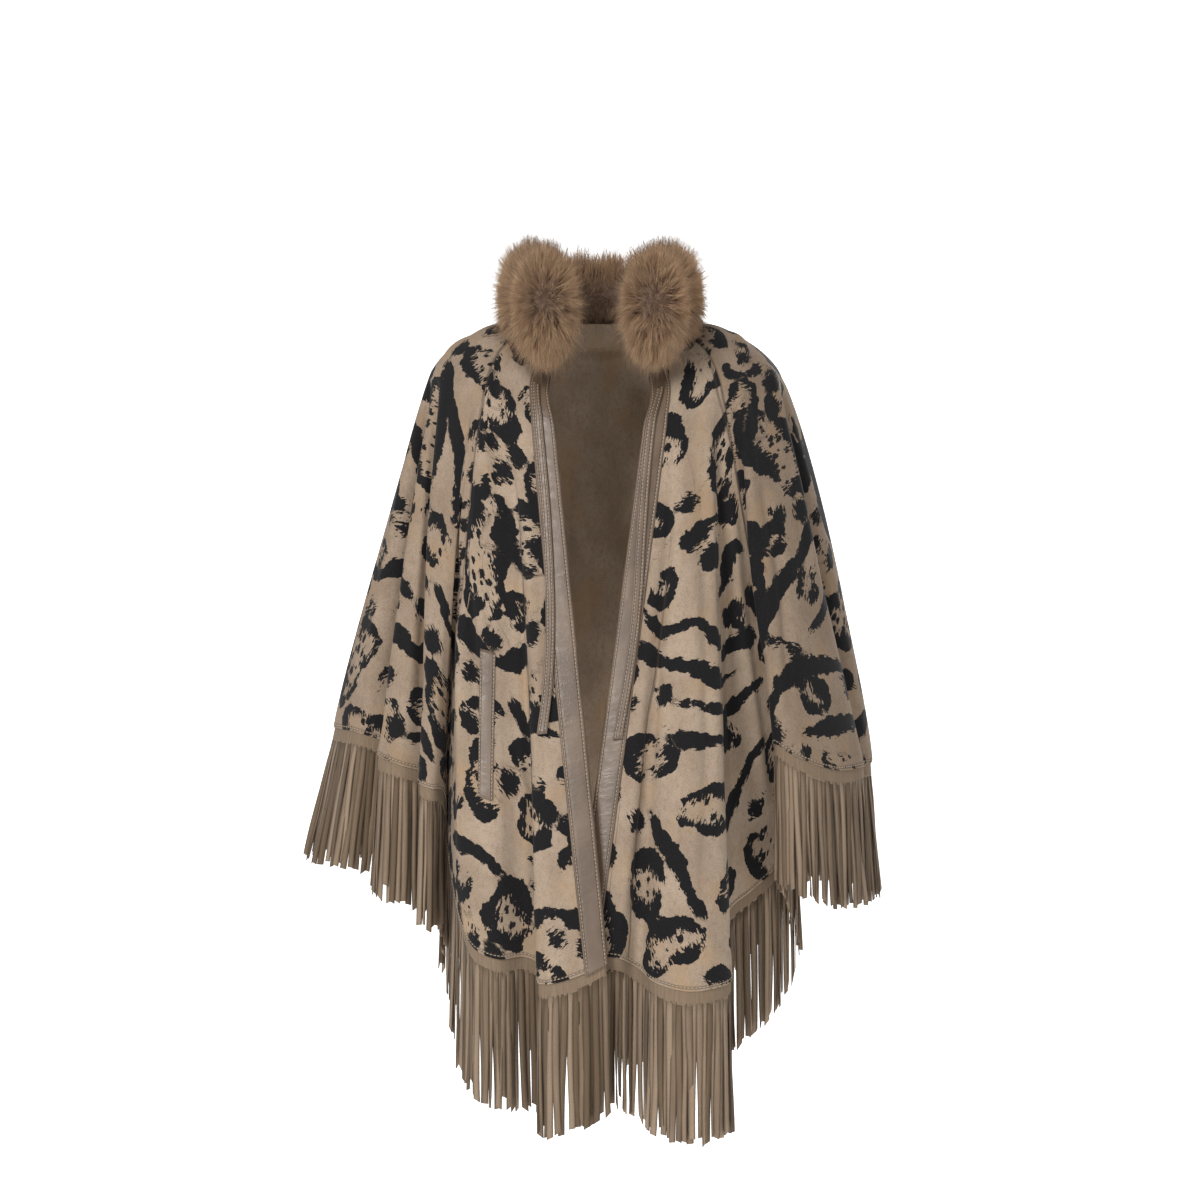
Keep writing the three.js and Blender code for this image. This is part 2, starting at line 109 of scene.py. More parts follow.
def run_along(points: Array) -> Array:
    """Distances from the first point of a line to each of its points, along it."""
    return np.concatenate([[0], np.cumsum(lengths(np.diff(points, axis=0)))])


def read_off(at: Array, reach: Array, rows: Array) -> Array:
    """Rows of numbers that belong to distances along a line, read straight between them."""
    return np.stack([np.interp(at, reach, column) for column in rows.T], axis=-1)


@dataclass(frozen=True)
class Nearest:
    """Where points lie beside a line of segments, each by the segment that is nearest to it.

    distance has the segment's half width taken off. away is how far the point is from the middle
    line, side is 1 on the left of the line's way and -1 on the right, and along is the distance
    along the line, whose whole length is length.
    """

    distance: Array
    away: Array
    side: Array
    along: Array
    length: float


def beside(points: Array, line: Array, half: Array | None = None) -> Nearest:
    """Finds for each point the nearest segment of a line: its foot is clipped to the segment's ends.

    Args:
        points: flat points.
        line: flat points of the line.
        half: half width at each point of the line, or None for a line without width.

    Returns:
        How the points lie beside it.
    """
    edge = np.diff(line, axis=0)
    length = lengths(edge)
    offset = points[:, None, :] - line[:-1]
    t = np.clip((offset * edge).sum(-1) / length ** 2, 0, 1)
    away = offset - t[..., None] * edge
    distance = lengths(away)
    if half is not None:
        distance = distance - mix(half[:-1], half[1:], t)
    best = distance.argmin(1)
    row = np.arange(len(points))
    away = away[row, best]
    side = np.sign(edge[best, 0] * away[:, 1] - edge[best, 1] * away[:, 0])
    along = (np.concatenate([[0], np.cumsum(length)[:-1]]) + t * length)[row, best]
    return Nearest(distance[row, best], lengths(away), side, along, float(length.sum()))


# ---- the draped surface
@dataclass(frozen=True)
class Ring:
    """A level ring of the figure under the cape: its half sizes and its heights."""

    right: float
    left: float
    front: float
    back: float
    z_front: float
    z_side: float
    z_back: float

    def point(self, degrees: Array) -> Array:
        """Points of the ring: an ellipse for each quarter, its height blended by the sine squared.

        Args:
            degrees: turns from the centre front by the wearer's right side.

        Returns:
            Points, one for each turn.
        """
        turn = np.radians(degrees)
        facing = np.cos(turn)
        depth = np.where(facing > 0, self.front, self.back)
        width = np.where(np.mod(degrees, 360.0) < 180, self.right, self.left)
        z_end = np.where(facing > 0, self.z_front, self.z_back)
        return np.stack([-width * np.sin(turn), -depth * facing,
                         mix(z_end, self.z_side, np.sin(turn) ** 2)], axis=-1)


NECK = Ring(70, 70, 72, 62, -65, 24, 30)
SHOULDER = Ring(132, 139, 104, 98, -78, 18, 2)
HANG = Ring(191, 203, 118, 118, -105, -40, -80)

FOLD_COLUMNS = ("at", "x", "y", "z", "lean", "bow")
RIGHT_FOLDS = (  # at, x, y, z, lean, bow: a row for each crest or hollow of the wearer's right
    (15, 7, -238, -659, 0.1, 0), (22, -16, -241, -671, 0.1, 0), (26, -48, -243, -681, 0.1, 0),
    (29.2, -65, -231, -682, 0.1, 0), (30.8, -60, -207, -668, 0.1, 0), (32.5, -78, -202, -659, 0.1, 0),
    (35, -106, -220, -659, 0.1, 2), (37.5, -130, -211, -650, 0.1, 8), (40, -145, -184, -627, 0.1, 15),
    (42, -157, -150, -584, 0.1, 12), (44.3, -164, -122, -542, 0.1, 9), (46.5, -166, -144, -489, 0.2, 7),
    (54, -178, -162, -486, 0.2, 3), (68, -193, -152, -481, 0.2, 0), (71, -190, -124, -471, 0.2, 0),
    (75, -214, -131, -463, 0.3, 0), (82, -240, -112, -453, 0.4, -3), (84.5, -235, -80, -441, 0.5, -3),
    (88, -264, -76, -431, 0.7, 3), (94, -294, -25, -428, 0.8, 6),
)
LEFT_FOLDS = (  # the same columns, from the wearer's left arm to the left front edge
    (269, 304, -4, -467, 0.3, 11), (278, 298, -24, -468, 0.3, 9), (283.5, 284, -42, -468, 0.2, 2),
    (287, 290, -66, -468, 0.2, 0), (298, 252, -116, -469, 0.2, 0), (308, 205, -141, -451, 0.2, 0),
    (311.5, 186, -130, -440, 0.2, 0), (314.5, 200, -103, -474, 0.1, 0), (317.6, 212, -76, -528, 0.1, 0),
    (319.4, 194, -84, -574, 0.1, 0), (321, 165, -100, -600, 0.1, 0), (322.4, 140, -120, -619, 0.1, 0),
    (323.5, 132, -166, -660, 0.1, 0), (324.6, 137, -214, -682, 0.1, 0), (327, 118, -236, -687, 0.1, 0),
    (330.5, 90, -243, -689, 0.1, 0), (333.5, 57, -229, -682, 0.1, 0), (335.8, 38, -206, -669, 0.1, 0),
    (338, 20, -222, -658, 0.1, 0), (340, -6, -219, -656, 0.1, 0), (346.5, -27, -212, -659, 0.1, 0),
)
NECK_TURNS = ((15, 22, 340, 346.5), (45, 63, 298, 315))  # hanging turns, and their neckline turns


@dataclass(frozen=True)
class BackWaves:
    """The even waves in which the back hangs between the arms."""

    folds: int = 17
    half_width: float = 297
    depth: float = 212
    z_centre: float = -682
    wave: float = 15
    arm_share: float = 0.2  # share at each side that still follows the arms
    drop: tuple[float, float] = (0.13, 0.8)  # shares of the depth between which the hem falls
    lean: float = 0.15
    bow: float = 4

    def rows(self) -> list[tuple[float, ...]]:
        """Fold rows: half an ellipse between the arms with a wave in and out of it."""
        last, following = (dict(zip(FOLD_COLUMNS, row)) for row in (RIGHT_FOLDS[-1], LEFT_FOLDS[0]))
        share = np.arange(1, self.folds + 1) / (self.folds + 1)
        turn = np.pi * share
        inward = smooth_step(np.minimum(share, 1 - share), 0, self.arm_share)
        wave = self.wave * np.where(np.arange(1, self.folds + 1) % 2, 1, -1) * inward
        arm = {key: mix(last[key], following[key], share) for key in FOLD_COLUMNS}
        low = smooth_step(1 - np.abs(np.cos(turn)), *self.drop)
        table = [arm["at"], -(self.half_width + wave) * np.cos(turn), (self.depth + wave) * np.sin(turn),
                 mix(arm["z"], self.z_centre, low), mix(arm["lean"], self.lean, inward),
                 mix(arm["bow"], self.bow, inward)]
        return [tuple(row) for row in np.stack(table, axis=1)]


@dataclass
class Drape:
    """The cape's outer face. Columns count the fold rows from the right front edge to the left one.

    down is 0 at the neck, 1 where the cloth starts to hang and 2 at the hem.
    """

    bow_power: float = 0.6
    step: float = 1e-3
    table: Array = field(default_factory=lambda: np.array(
        [*RIGHT_FOLDS, *BackWaves().rows(), *LEFT_FOLDS], float))

    @property
    def last(self) -> int:
        """The last column."""
        return len(self.table) - 1

    def fold(self, key: str, column: Array) -> Array:
        """A value of the fold table, straight between its rows."""
        return np.interp(column, np.arange(self.last + 1), self.table[:, FOLD_COLUMNS.index(key)])

    def hem(self, column: Array) -> Array:
        """Hem line: a centripetal Catmull-Rom curve through the fold rows' points.

        Each span is a cubic whose end tangents come from the two neighbouring chords, weighed by the
        square roots of their lengths. The curve is carried on straight at both ends.
        """
        points = self.table[:, 1:4]
        knots = np.array([2 * points[0] - points[1], *points, 2 * points[-1] - points[-2]])
        i = np.minimum(np.floor(column).astype(int), self.last - 1)
        p0, p1, p2, p3 = (knots[i + k] for k in range(4))
        d0, d1, d2 = (np.sqrt(lengths(b - a))[..., None] for a, b in ((p0, p1), (p1, p2), (p2, p3)))
        leave = ((p1 - p0) / d0 - (p2 - p0) / (d0 + d1) + (p2 - p1) / d1) * d1
        arrive = ((p2 - p1) / d1 - (p3 - p1) / (d1 + d2) + (p3 - p2) / d2) * d1
        return hermite(p1, p2, leave, arrive, column - i)

    def surface(self, column: Array | float, down: Array | float) -> Array:
        """Points of the outer face.

        Below the hanging ring: the straight line to the hem, bowed level outwards. Above it: two
        cubics, from the neck over the shoulder ring and on to the hanging ring.

        Args:
            column: places round the cape.
            down: places from the neck to the hem.

        Returns:
            Points in the shape that the two arguments have together, with x, y and z last.
        """
        column, down = np.broadcast_arrays(np.asarray(column, float), np.asarray(down, float))
        at = self.fold("at", column)
        neck, hang, hem = NECK.point(np.interp(at, *NECK_TURNS)), HANG.point(at), self.hem(column)
        t = np.clip(down - 1, 0, 1)
        bow = self.fold("bow", column) * (4 * t * (1 - t)) ** self.bow_power
        low = mix(hang, hem, t[..., None]) + unit(hang * (1, 1, 0)) * bow[..., None]
        between = (neck + hang) / 2
        depth = np.where(between[..., 1] < 0, SHOULDER.front, SHOULDER.back)
        width = np.where(between[..., 0] < 0, SHOULDER.right, SHOULDER.left)
        turn = np.degrees(np.arctan2(-between[..., 0] / width, -between[..., 1] / depth)) % 360
        shoulder = SHOULDER.point(turn)
        across = (hang - neck) / 2
        fall = unit(hem - hang) * lengths(hang - shoulder)[..., None]
        high = hermite(neck, shoulder, shoulder - neck, across, np.clip(down * 2, 0, 1))
        side = hermite(shoulder, hang, across, fall, np.clip(down * 2 - 1, 0, 1))
        over = np.where((down < 0.5)[..., None], high, side)
        return np.where((down < 1)[..., None], over, low)

    def frame(self, column: Array, down: Array | float) -> tuple[Array, Array]:
        """Unit vectors along the hem and out of the cloth, from central differences."""
        west = self.surface(np.maximum(column - self.step, 0), down)
        east = self.surface(np.minimum(column + self.step, self.last), down)
        above = self.surface(column, np.maximum(down - self.step, 0))
        below = self.surface(column, np.minimum(down + self.step, 2))
        along = unit(east - west)
        return along, unit(np.cross(along, below - above))

    def hanging(self, column: Array) -> Array:
        """Unit vectors in which the fringe hangs: straight down, leaning to the cloth's own slope."""
        slope = unit(self.surface(column, 2.0) - self.surface(column, 1.0))
        return unit(mix(np.array([0.0, 0.0, -1.0]), slope, self.fold("lean", column)[..., None]))


DRAPE = Drape()
SEAM_GAP = 0.05  # between two panels
HEM_SEWN = 3.6  # height of the sewn line above the hem


# ---- meshes from grids
def grid_quads(wide: int, tall: int, first: int = 0, closed: bool = False) -> Array:
    """Quads of a grid that is stored column by column.

    Args:
        wide: number of columns.
        tall: points in a column.
        first: number of the grid's first point.
        closed: whether the last point of each column joins its first.

    Returns:
        Point numbers, four for each quad.
    """
    i = np.arange(wide - 1)[:, None] * tall + first
    j = np.arange(tall if closed else tall - 1)[None, :]
    below = (j + 1) % tall
    return np.stack([i + j, i + below, i + tall + below, i + tall + j], axis=-1).reshape(-1, 4)


def evenly(count: int, one: Array, stride: int) -> Array:
    """The faces of one small shape, repeated for each of many whose points are a stride apart."""
    return (one[None] + (np.arange(count) * stride)[:, None, None]).reshape(-1, one.shape[1])


def wall_faces(wide: int, tall: int) -> Array:
    """Outward quads of a closed wall whose outer grid comes first and whose inner grid follows."""
    count = wide * tall
    outer = grid_quads(wide, tall)[:, ::-1]
    inner = grid_quads(wide, tall, count)
    rim = np.concatenate([np.arange(tall), np.arange(1, wide) * tall + tall - 1,
                          (wide - 1) * tall + np.arange(tall - 2, -1, -1),
                          np.arange(wide - 2, 0, -1) * tall])
    after = np.roll(rim, -1)
    edge = np.stack([rim, after, after + count, rim + count], axis=-1)
    return np.concatenate([outer, inner, edge])


def make_piece(name: str, points: Array, faces: list[Array], finish: Material,
               attributes: dict[str, Array] | None = None) -> Piece:
    """Puts points and faces into a mesh at the origin, dresses it and lets it ride on the cape's body.

    Args:
        name: the piece's name.
        points: its points, in millimetres.
        faces: arrays of point numbers, each with one number of corners.
        finish: its material.
        attributes: values kept at each point, one or three numbers each.

    Returns:
        The object.
    """
    mesh = bpy.data.meshes.new(name)
    corners = np.concatenate([f.ravel() for f in faces]).astype(np.int32)
    sizes = np.concatenate([np.full(len(f), f.shape[1]) for f in faces])
    starts = np.concatenate([[0], np.cumsum(sizes)[:-1]]).astype(np.int32)
    mesh.vertices.add(len(points))
    mesh.vertices.foreach_set("co", (points * MM).astype(np.float32).ravel())
    mesh.loops.add(len(corners))
    mesh.loops.foreach_set("vertex_index", corners)
    mesh.polygons.add(len(sizes))
    mesh.polygons.foreach_set("loop_start", starts)
    mesh.polygons.foreach_set("use_smooth", np.ones(len(sizes), bool))
    for key, values in (attributes or {}).items():
        vector = values.ndim == 2
        layer = mesh.attributes.new(key, "FLOAT_VECTOR" if vector else "FLOAT", "POINT")
        layer.data.foreach_set("vector" if vector else "value", values.astype(np.float32).ravel())
    mesh.update(calc_edges=True)
    mesh.materials.append(finish)
    piece = bpy.data.objects.new(name, mesh)
    bpy.context.scene.collection.objects.link(piece)
    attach(piece, "root")
    LOG.info("%s: %d points, %d faces", name, len(points), len(sizes))
    return piece


def outward(piece: Piece) -> None:
    """Turns a closed mesh's faces out where its volume comes out below zero."""
    mesh = piece.data
    mesh.calc_loop_triangles()
    corners = np.empty(len(mesh.loop_triangles) * 3, np.int32)
    mesh.loop_triangles.foreach_get("vertices", corners)
    points = np.empty(len(mesh.vertices) * 3, np.float32)
    mesh.vertices.foreach_get("co", points)
    a, b, c = points.reshape(-1, 3)[corners.reshape(-1, 3)].transpose(1, 0, 2)
    if np.einsum("ij,ij->i", a, np.cross(b, c)).sum() < 0:
        mesh.flip_normals()


# ---- finishes
def colour(code: str) -> tuple[float, float, float, float]:
    """An sRGB hex value as linear red, green, blue and alpha."""
    srgb = np.array([int(code[i:i + 2], 16) for i in (1, 3, 5)]) / 255
    linear = np.where(srgb <= 0.04045, srgb / 12.92, ((srgb + 0.055) / 1.055) ** 2.4)
    return (*(float(v) for v in linear), 1.0)


def add_node(tree: Tree, kind: str, inputs: Sequence[object] | dict[str | int, object] = (),
             **settings: object) -> bpy.types.bpy_prop_collection:
    """Adds a node to a material, with its settings, values and links.

    Args:
        tree: the material's nodes.
        kind: the node's type, without the ShaderNode that each begins with.
        inputs: a value, or the output that feeds it, for each input: in order, or by name or number.
        settings: the node's own properties.

    Returns:
        The node's outputs.
    """
    node = tree.nodes.new("ShaderNode" + kind)
    for key, value in settings.items():
        setattr(node, key, value)
    for key, value in inputs.items() if isinstance(inputs, dict) else enumerate(inputs):
        if isinstance(value, Socket):
            tree.links.new(value, node.inputs[key])
        else:
            node.inputs[key].default_value = value
    return node.outputs


def new_material(name: str) -> tuple[Material, Tree]:
    """An empty node material and its nodes."""
    material = bpy.data.materials.new(name)
    material.use_nodes = True
    material.node_tree.nodes.clear()
    return material, material.node_tree


def lay_over(tree: Tree, base: object, *layers: tuple[object, float, float, float, str]) -> Socket:
    """Lays tones over a colour, one after the other.

    Args:
        tree: the material's nodes.
        base: the colour under them.
        layers: for each a value, the bounds between which the tone comes up smoothly as the value
            rises, the share at which it then stays, and the tone.

    Returns:
        The colour with its tones.
    """
    for value, low, high, most, tone in layers:
        share = add_node(tree, "MapRange", (value, low, high, 0.0, most), **SMOOTH)[0]
        base = add_node(tree, "Mix", {0: share, 6: base, 7: colour(tone)}, **RGBA)[2]
    return base


def finish_surface(tree: Tree, base: object, rough: object, height: object, relief_mm: float,
                   sheen: float, specular: float, glow: float = 0.0) -> None:
    """Ends a material: a matt to soft-gloss surface with a bump from a height in millimetres.

    Args:
        tree: the material's nodes.
        base: colour.
        rough: roughness.
        height: relief, where 1 stands relief_mm high.
        relief_mm: height of the relief.
        sheen: weight of the soft nap.
        specular: how strongly it shines; 0.5 is a common plastic or leather.
        glow: how bright it is of itself.
    """
    bump = add_node(tree, "Bump", {"Height": height, "Strength": 1.0, "Distance": relief_mm * MM})[0]
    shader = add_node(tree, "BsdfPrincipled", {
        "Base Color": base, "Roughness": rough, "Normal": bump, "Specular IOR Level": specular,
        "Sheen Weight": sheen, "Sheen Roughness": 0.6, "Emission Color": (1, 1, 1, 1),
        "Emission Strength": glow})[0]
    add_node(tree, "OutputMaterial", {"Surface": shader})


@dataclass(frozen=True)
class PrintedSuede:
    """Goat suede, buffed on its flesh side and printed by hand with black pigment.

    Buffing leaves a short nap that lies this way and that, so the cloth is matt, with soft lighter
    and darker patches. Wear and dye give it warmer and greyer mottles. The pigment lies on the nap:
    it is as matt, a little worn where the grain stands up, and its edges are those of a dry brush.
    """

    light: str = "#AE9C89"
    dark: str = "#9A8876"
    warm: str = "#A48766"
    mottled: str = "#806C58"
    pits: str = "#6C5946"
    # painted shade: the tone that panels turning from the light are painted towards
    painted_panel_shade: str = "#5E4C3C"
    # painted shade in the grooves of the seams
    painted_seam_shade: str = "#3E342B"
    ink: str = "#141315"
    worn_ink: str = "#242223"
    nap_mm: float = 38.0
    patch_mm: float = 52.0
    mottle_mm: tuple[float, float] = (5.0, 8.0)
    grain_mm: float = 1.3  # real suede grain is finer; this shows in the render
    lobe_mm: float = 13.0
    edge_mm: float = 3.0
    bristle_mm: tuple[float, float] = (8.0, 2.5)  # length and width of a bristle's mark
    speck_mm: float = 9.5
    lobe_reach: float = 12.0  # how far lobes, ragged edges and bristles move the print's edge
    edge_reach: float = 4.6
    bristle_reach: float = 33.0
    groove_mm: tuple[float, float] = (0.2, 2.6)  # half widths of a seam's floor and of the whole seam
    relief_mm: float = 0.9

    def specks(self, tree: Tree, place: Socket, edge: Socket, bristle: Socket) -> Socket:
        """Ragged dots, one in the middle of each cell of a warped cell pattern.

        A dot's radius is 0.56 of a cell's own random number less 0.15, so some cells stay bare.

        Args:
            tree: the material's nodes.
            place: flat coordinates along the brush's way.
            edge: fine noise round zero.
            bristle: drawn-out noise round zero.

        Returns:
            1 on a dot and 0 beside it.
        """
        warp = add_node(tree, "CombineXYZ", (
            add_node(tree, "Math", (edge, 12.0), operation="MULTIPLY")[0],
            add_node(tree, "Math", (bristle, 7.0), operation="MULTIPLY")[0]))[0]
        warped = add_node(tree, "VectorMath", (place, warp), operation="ADD")[0]
        scale = (0.7 / self.speck_mm, 1.15 / self.speck_mm, 1)
        cells = add_node(tree, "TexVoronoi", {
            "Vector": add_node(tree, "Mapping", {"Vector": warped, "Scale": scale})[0],
            "Scale": 1.0, "Randomness": 0.95}, voronoi_dimensions="2D")
        own = add_node(tree, "SeparateColor", (cells["Color"],))[0]
        above = add_node(tree, "Math", (own, 0.15), operation="SUBTRACT")[0]
        radius = add_node(tree, "Math", (above, 0.56), operation="MULTIPLY")[0]
        past = add_node(tree, "Math", (cells["Distance"], radius), operation="SUBTRACT")[0]
        return add_node(tree, "MapRange", (past, -0.03, 0.03, 1.0, 0.0), **SMOOTH)[0]

    def printed(self, tree: Tree, flat: Socket, ink: Socket, speck: Socket) -> Socket:
        """How much pigment covers a place.

        It is the place's distance to the nearest stroke, moved by three noises: broad lobes, a fine
        ragged edge, and marks of single bristles drawn out along the brush's way where the edge is
        bristled. Specks fill the marked hollows.

        Args:
            tree: the material's nodes.
            flat: flat coordinates on the panel.
            ink: distance to the nearest stroke's edge, below zero inside it.
            speck: 1 in the hollows that hold specks.

        Returns:
            1 where the cloth is printed and 0 where it is bare.
        """
        stroke = add_node(tree, "Attribute", attribute_name="stroke")["Vector"]
        hatch = add_node(tree, "SeparateXYZ", (stroke,))[2]
        drawn = add_node(tree, "Mapping", {
            "Vector": stroke, "Scale": (1 / self.bristle_mm[0], 1 / self.bristle_mm[1], 0)})[0]
        noises = []
        for vector, scale, detail, rough in ((flat, 1 / self.lobe_mm, 1.0, 0.5),
                                             (flat, 1 / self.edge_mm, 3.0, 0.6), (drawn, 1.0, 3.0, 0.6)):
            noise = add_node(tree, "TexNoise", {"Vector": vector, "Scale": scale, "Detail": detail,
                                                "Roughness": rough})[0]
            noises.append(add_node(tree, "Math", (noise, 0.5), operation="SUBTRACT")[0])
        lobe, edge, bristle = noises
        tooth = add_node(tree, "Math", (bristle, hatch), operation="MULTIPLY")[0]
        reach = ink
        for noise, far in ((lobe, self.lobe_reach), (edge, self.edge_reach), (tooth, self.bristle_reach)):
            reach = add_node(tree, "Math", (noise, far, reach), operation="MULTIPLY_ADD")[0]
        brushed = add_node(tree, "MapRange", (reach, -1.0, -0.3, 1.0, 0.0), **SMOOTH)[0]
        hollow = add_node(tree, "MapRange", (speck, 0.4, 0.6), **SMOOTH)[0]
        dots = self.specks(tree, stroke, edge, bristle)
        dotted = add_node(tree, "Math", (dots, hollow), operation="MULTIPLY")[0]
        return add_node(tree, "Math", (brushed, dotted), operation="MAXIMUM")[0]

    def build(self) -> Material:
        """The material. A panel's attributes flat, stroke, marks and skin say what lies where; skin is how
        far the panel is painted darker as shade.
        """
        material, tree = new_material("printed_suede")
        flat, marks = (add_node(tree, "Attribute", attribute_name=name)["Vector"]
                       for name in ("flat", "marks"))
        skin = add_node(tree, "Attribute", attribute_name="skin")["Fac"]
        ink, speck, seam = add_node(tree, "SeparateXYZ", (marks,))
        noises = []
        for scale, shift, detail, rough in (
                ((1 / self.nap_mm, 0.6 / self.nap_mm, 1), (0, 0, 0), 3.0, 0.55),
                ((1 / self.mottle_mm[0], 1 / self.mottle_mm[1], 1), (0, 0, 0), 3.0, 0.65),
                ((1 / self.grain_mm,) * 3, (0, 0, 0), 2.0, 0.7),
                ((1 / self.patch_mm, 0.7 / self.patch_mm, 1), (9, 4, 0), 2.0, 0.6)):
            place = add_node(tree, "Mapping", {"Vector": flat, "Location": shift, "Scale": scale})[0]
            noises.append(add_node(tree, "TexNoise", {"Vector": place, "Scale": 1.0, "Detail": detail,
                                                      "Roughness": rough})[0])
        nap, mottle, grain, patch = noises
        cloth = lay_over(tree, colour(self.dark), (nap, 0.3, 0.7, 1.0, self.light),
                         (mottle, 0.45, 0.75, 0.42, self.mottled), (grain, 0.3, 0.7, 0.4, self.pits),
                         (patch, 0.48, 0.72, 0.5, self.warm))
        # painted shade: panels turned from the light are painted darker, by their skin share
        cloth = add_node(tree, "Mix", {0: skin, 6: cloth, 7: colour(self.painted_panel_shade)}, **RGBA)[2]
        pigment = lay_over(tree, colour(self.ink), (grain, 0.35, 0.85, 1.0, self.worn_ink))
        inked = self.printed(tree, flat, ink, speck)
        base = add_node(tree, "Mix", {0: inked, 6: cloth, 7: pigment}, **RGBA)[2]
        # painted shade: the cloth is painted darker in the grooves of its seams, at its sides and along the
        # hem's sewing
        beside_seam = add_node(tree, "Math", (seam,), operation="ABSOLUTE")[0]
        dip = add_node(tree, "MapRange", (beside_seam, *self.groove_mm, 1.0, 0.0), **SMOOTH)[0]
        shade = add_node(tree, "Math", (dip, 0.45), operation="MULTIPLY")[0]
        base = add_node(tree, "Mix", {0: shade, 6: base, 7: colour(self.painted_seam_shade)}, **RGBA)[2]
        raised = add_node(tree, "Math", (grain, 0.22), operation="MULTIPLY")[0]
        height = add_node(tree, "Math", (dip, -0.8, raised), operation="MULTIPLY_ADD")[0]
        rough = add_node(tree, "MapRange", (inked, 0.0, 1.0, 0.95, 0.85), **SMOOTH)[0]
        finish_surface(tree, base, rough, height, self.relief_mm, sheen=0.04, specular=0.12)
        return material


@dataclass(frozen=True)
class FringeSuede:
    """The same goat suede left plain and cut into strands with a knife.

    Its flesh side is matt and streaked along the cut. No two strands lie alike, so each has a tone of
    its own, and each is painted darker towards its edges, as painted shade for the gaps between strands.
    """

    light: str = "#917E6A"
    dark: str = "#615140"
    pits: str = "#5F4E3E"
    # painted shade at the strands' edges, for the gaps between them
    painted_gap_shade: str = "#3B2F24"
    grain_mm: float = 1.6  # coarser than real grain, so that it shows
    streak_mm: tuple[float, float] = (2.4, 46.0)
    relief_mm: float = 0.25

    def build(self) -> Material:
        """The material. tone holds each strand's shade, rim is 1 at its edges, where painted shade darkens
        it, flat runs along it.
        """
        material, tree = new_material("fringe_suede")
        flat = add_node(tree, "Attribute", attribute_name="flat")["Vector"]
        tone, rim = (add_node(tree, "Attribute", attribute_name=name)["Fac"] for name in ("tone", "rim"))
        grain = add_node(tree, "TexNoise", {"Vector": flat, "Scale": 1 / self.grain_mm,
                                            "Roughness": 0.7})[0]
        drawn = add_node(tree, "Mapping", {
            "Vector": flat, "Scale": (1 / self.streak_mm[0], 1 / self.streak_mm[1], 1)})[0]
        streak = add_node(tree, "TexNoise", {"Vector": drawn, "Scale": 1.0})[0]
        level = add_node(tree, "Math", (streak, 0.5), operation="SUBTRACT")[0]
        pale = add_node(tree, "Math", (level, 0.55, tone), operation="MULTIPLY_ADD")[0]
        outer = add_node(tree, "Math", (rim,), operation="ABSOLUTE")[0]
        # painted shade: each strand darkens towards its edges, where the gaps between strands lie in shadow
        base = lay_over(tree, colour(self.dark), (pale, 0.0, 1.0, 1.0, self.light),
                        (grain, 0.3, 0.8, 0.25, self.pits), (outer, 0.55, 1.0, 0.6, self.painted_gap_shade))
        finish_surface(tree, base, 0.92, grain, self.relief_mm, sheen=0.05, specular=0.15)
        return material


@dataclass(frozen=True)
class BandLeather:
    """Drum-dyed nappa, a soft smooth-side leather, folded and sewn.

    It has a fine pebble grain and short creases across the strap, is a little darker in them, has painted
    shade in the channels of its sewing, and keeps a low gloss that the suede lacks.
    """

    light: str = "#6E5B4A"
    dark: str = "#5C4B3C"
    creased: str = "#6A5B4E"
    # painted shade in the sewing channels
    painted_channel_shade: str = "#4E4238"
    pebble_mm: float = 1.4
    crease_mm: float = 7.0
    patch_mm: tuple[float, float] = (30.0, 55.0)
    channel_mm: tuple[float, float] = (0.3, 1.5)  # half widths of a channel's floor and of the channel
    relief_mm: float = 1.0

    def build(self) -> Material:
        """The material. flat runs across and down the strap. sewn holds distances from two sewn lines."""
        material, tree = new_material("band_leather")
        flat, sewn = (add_node(tree, "Attribute", attribute_name=name)["Vector"]
                      for name in ("flat", "sewn"))
        pebbles = add_node(tree, "TexVoronoi", {"Vector": flat, "Scale": 1 / self.pebble_mm})["Distance"]
        noises = []
        for scale, detail, rough in (((0.45 / self.crease_mm, 1 / self.crease_mm, 1), 4.0, 0.6),
                                     ((1 / self.patch_mm[0], 1 / self.patch_mm[1], 1), 2.0, 0.5)):
            place = add_node(tree, "Mapping", {"Vector": flat, "Scale": scale})[0]
            noises.append(add_node(tree, "TexNoise", {"Vector": place, "Scale": 1.0, "Detail": detail,
                                                      "Roughness": rough})[0])
        crease, patch = noises
        base = lay_over(tree, colour(self.dark), (patch, 0.3, 0.7, 1.0, self.light),
                        (crease, 0.52, 0.72, 0.3, self.creased))
        lines = [add_node(tree, "Math", (line,), operation="ABSOLUTE")[0]
                 for line in add_node(tree, "SeparateXYZ", (sewn,))[:2]]
        nearest = add_node(tree, "Math", lines, operation="MINIMUM")[0]
        sunk = add_node(tree, "MapRange", (nearest, *self.channel_mm, 1.0, 0.0), **SMOOTH)[0]
        # painted shade: the leather is painted darker in the channels along its sewn lines
        shade = add_node(tree, "Math", (sunk, 0.5), operation="MULTIPLY")[0]
        base = add_node(tree, "Mix", {0: shade, 6: base, 7: colour(self.painted_channel_shade)}, **RGBA)[2]
        height = add_node(tree, "Math", (pebbles, 0.1), operation="MULTIPLY")[0]
        for low in (sunk, crease):
            height = add_node(tree, "Math", (low, -0.5, height), operation="MULTIPLY_ADD")[0]
        rough = add_node(tree, "MapRange", (crease, 0.3, 0.7, 0.34, 0.5), **SMOOTH)[0]
        finish_surface(tree, base, rough, height, self.relief_mm, sheen=0.0, specular=0.55)
        return material


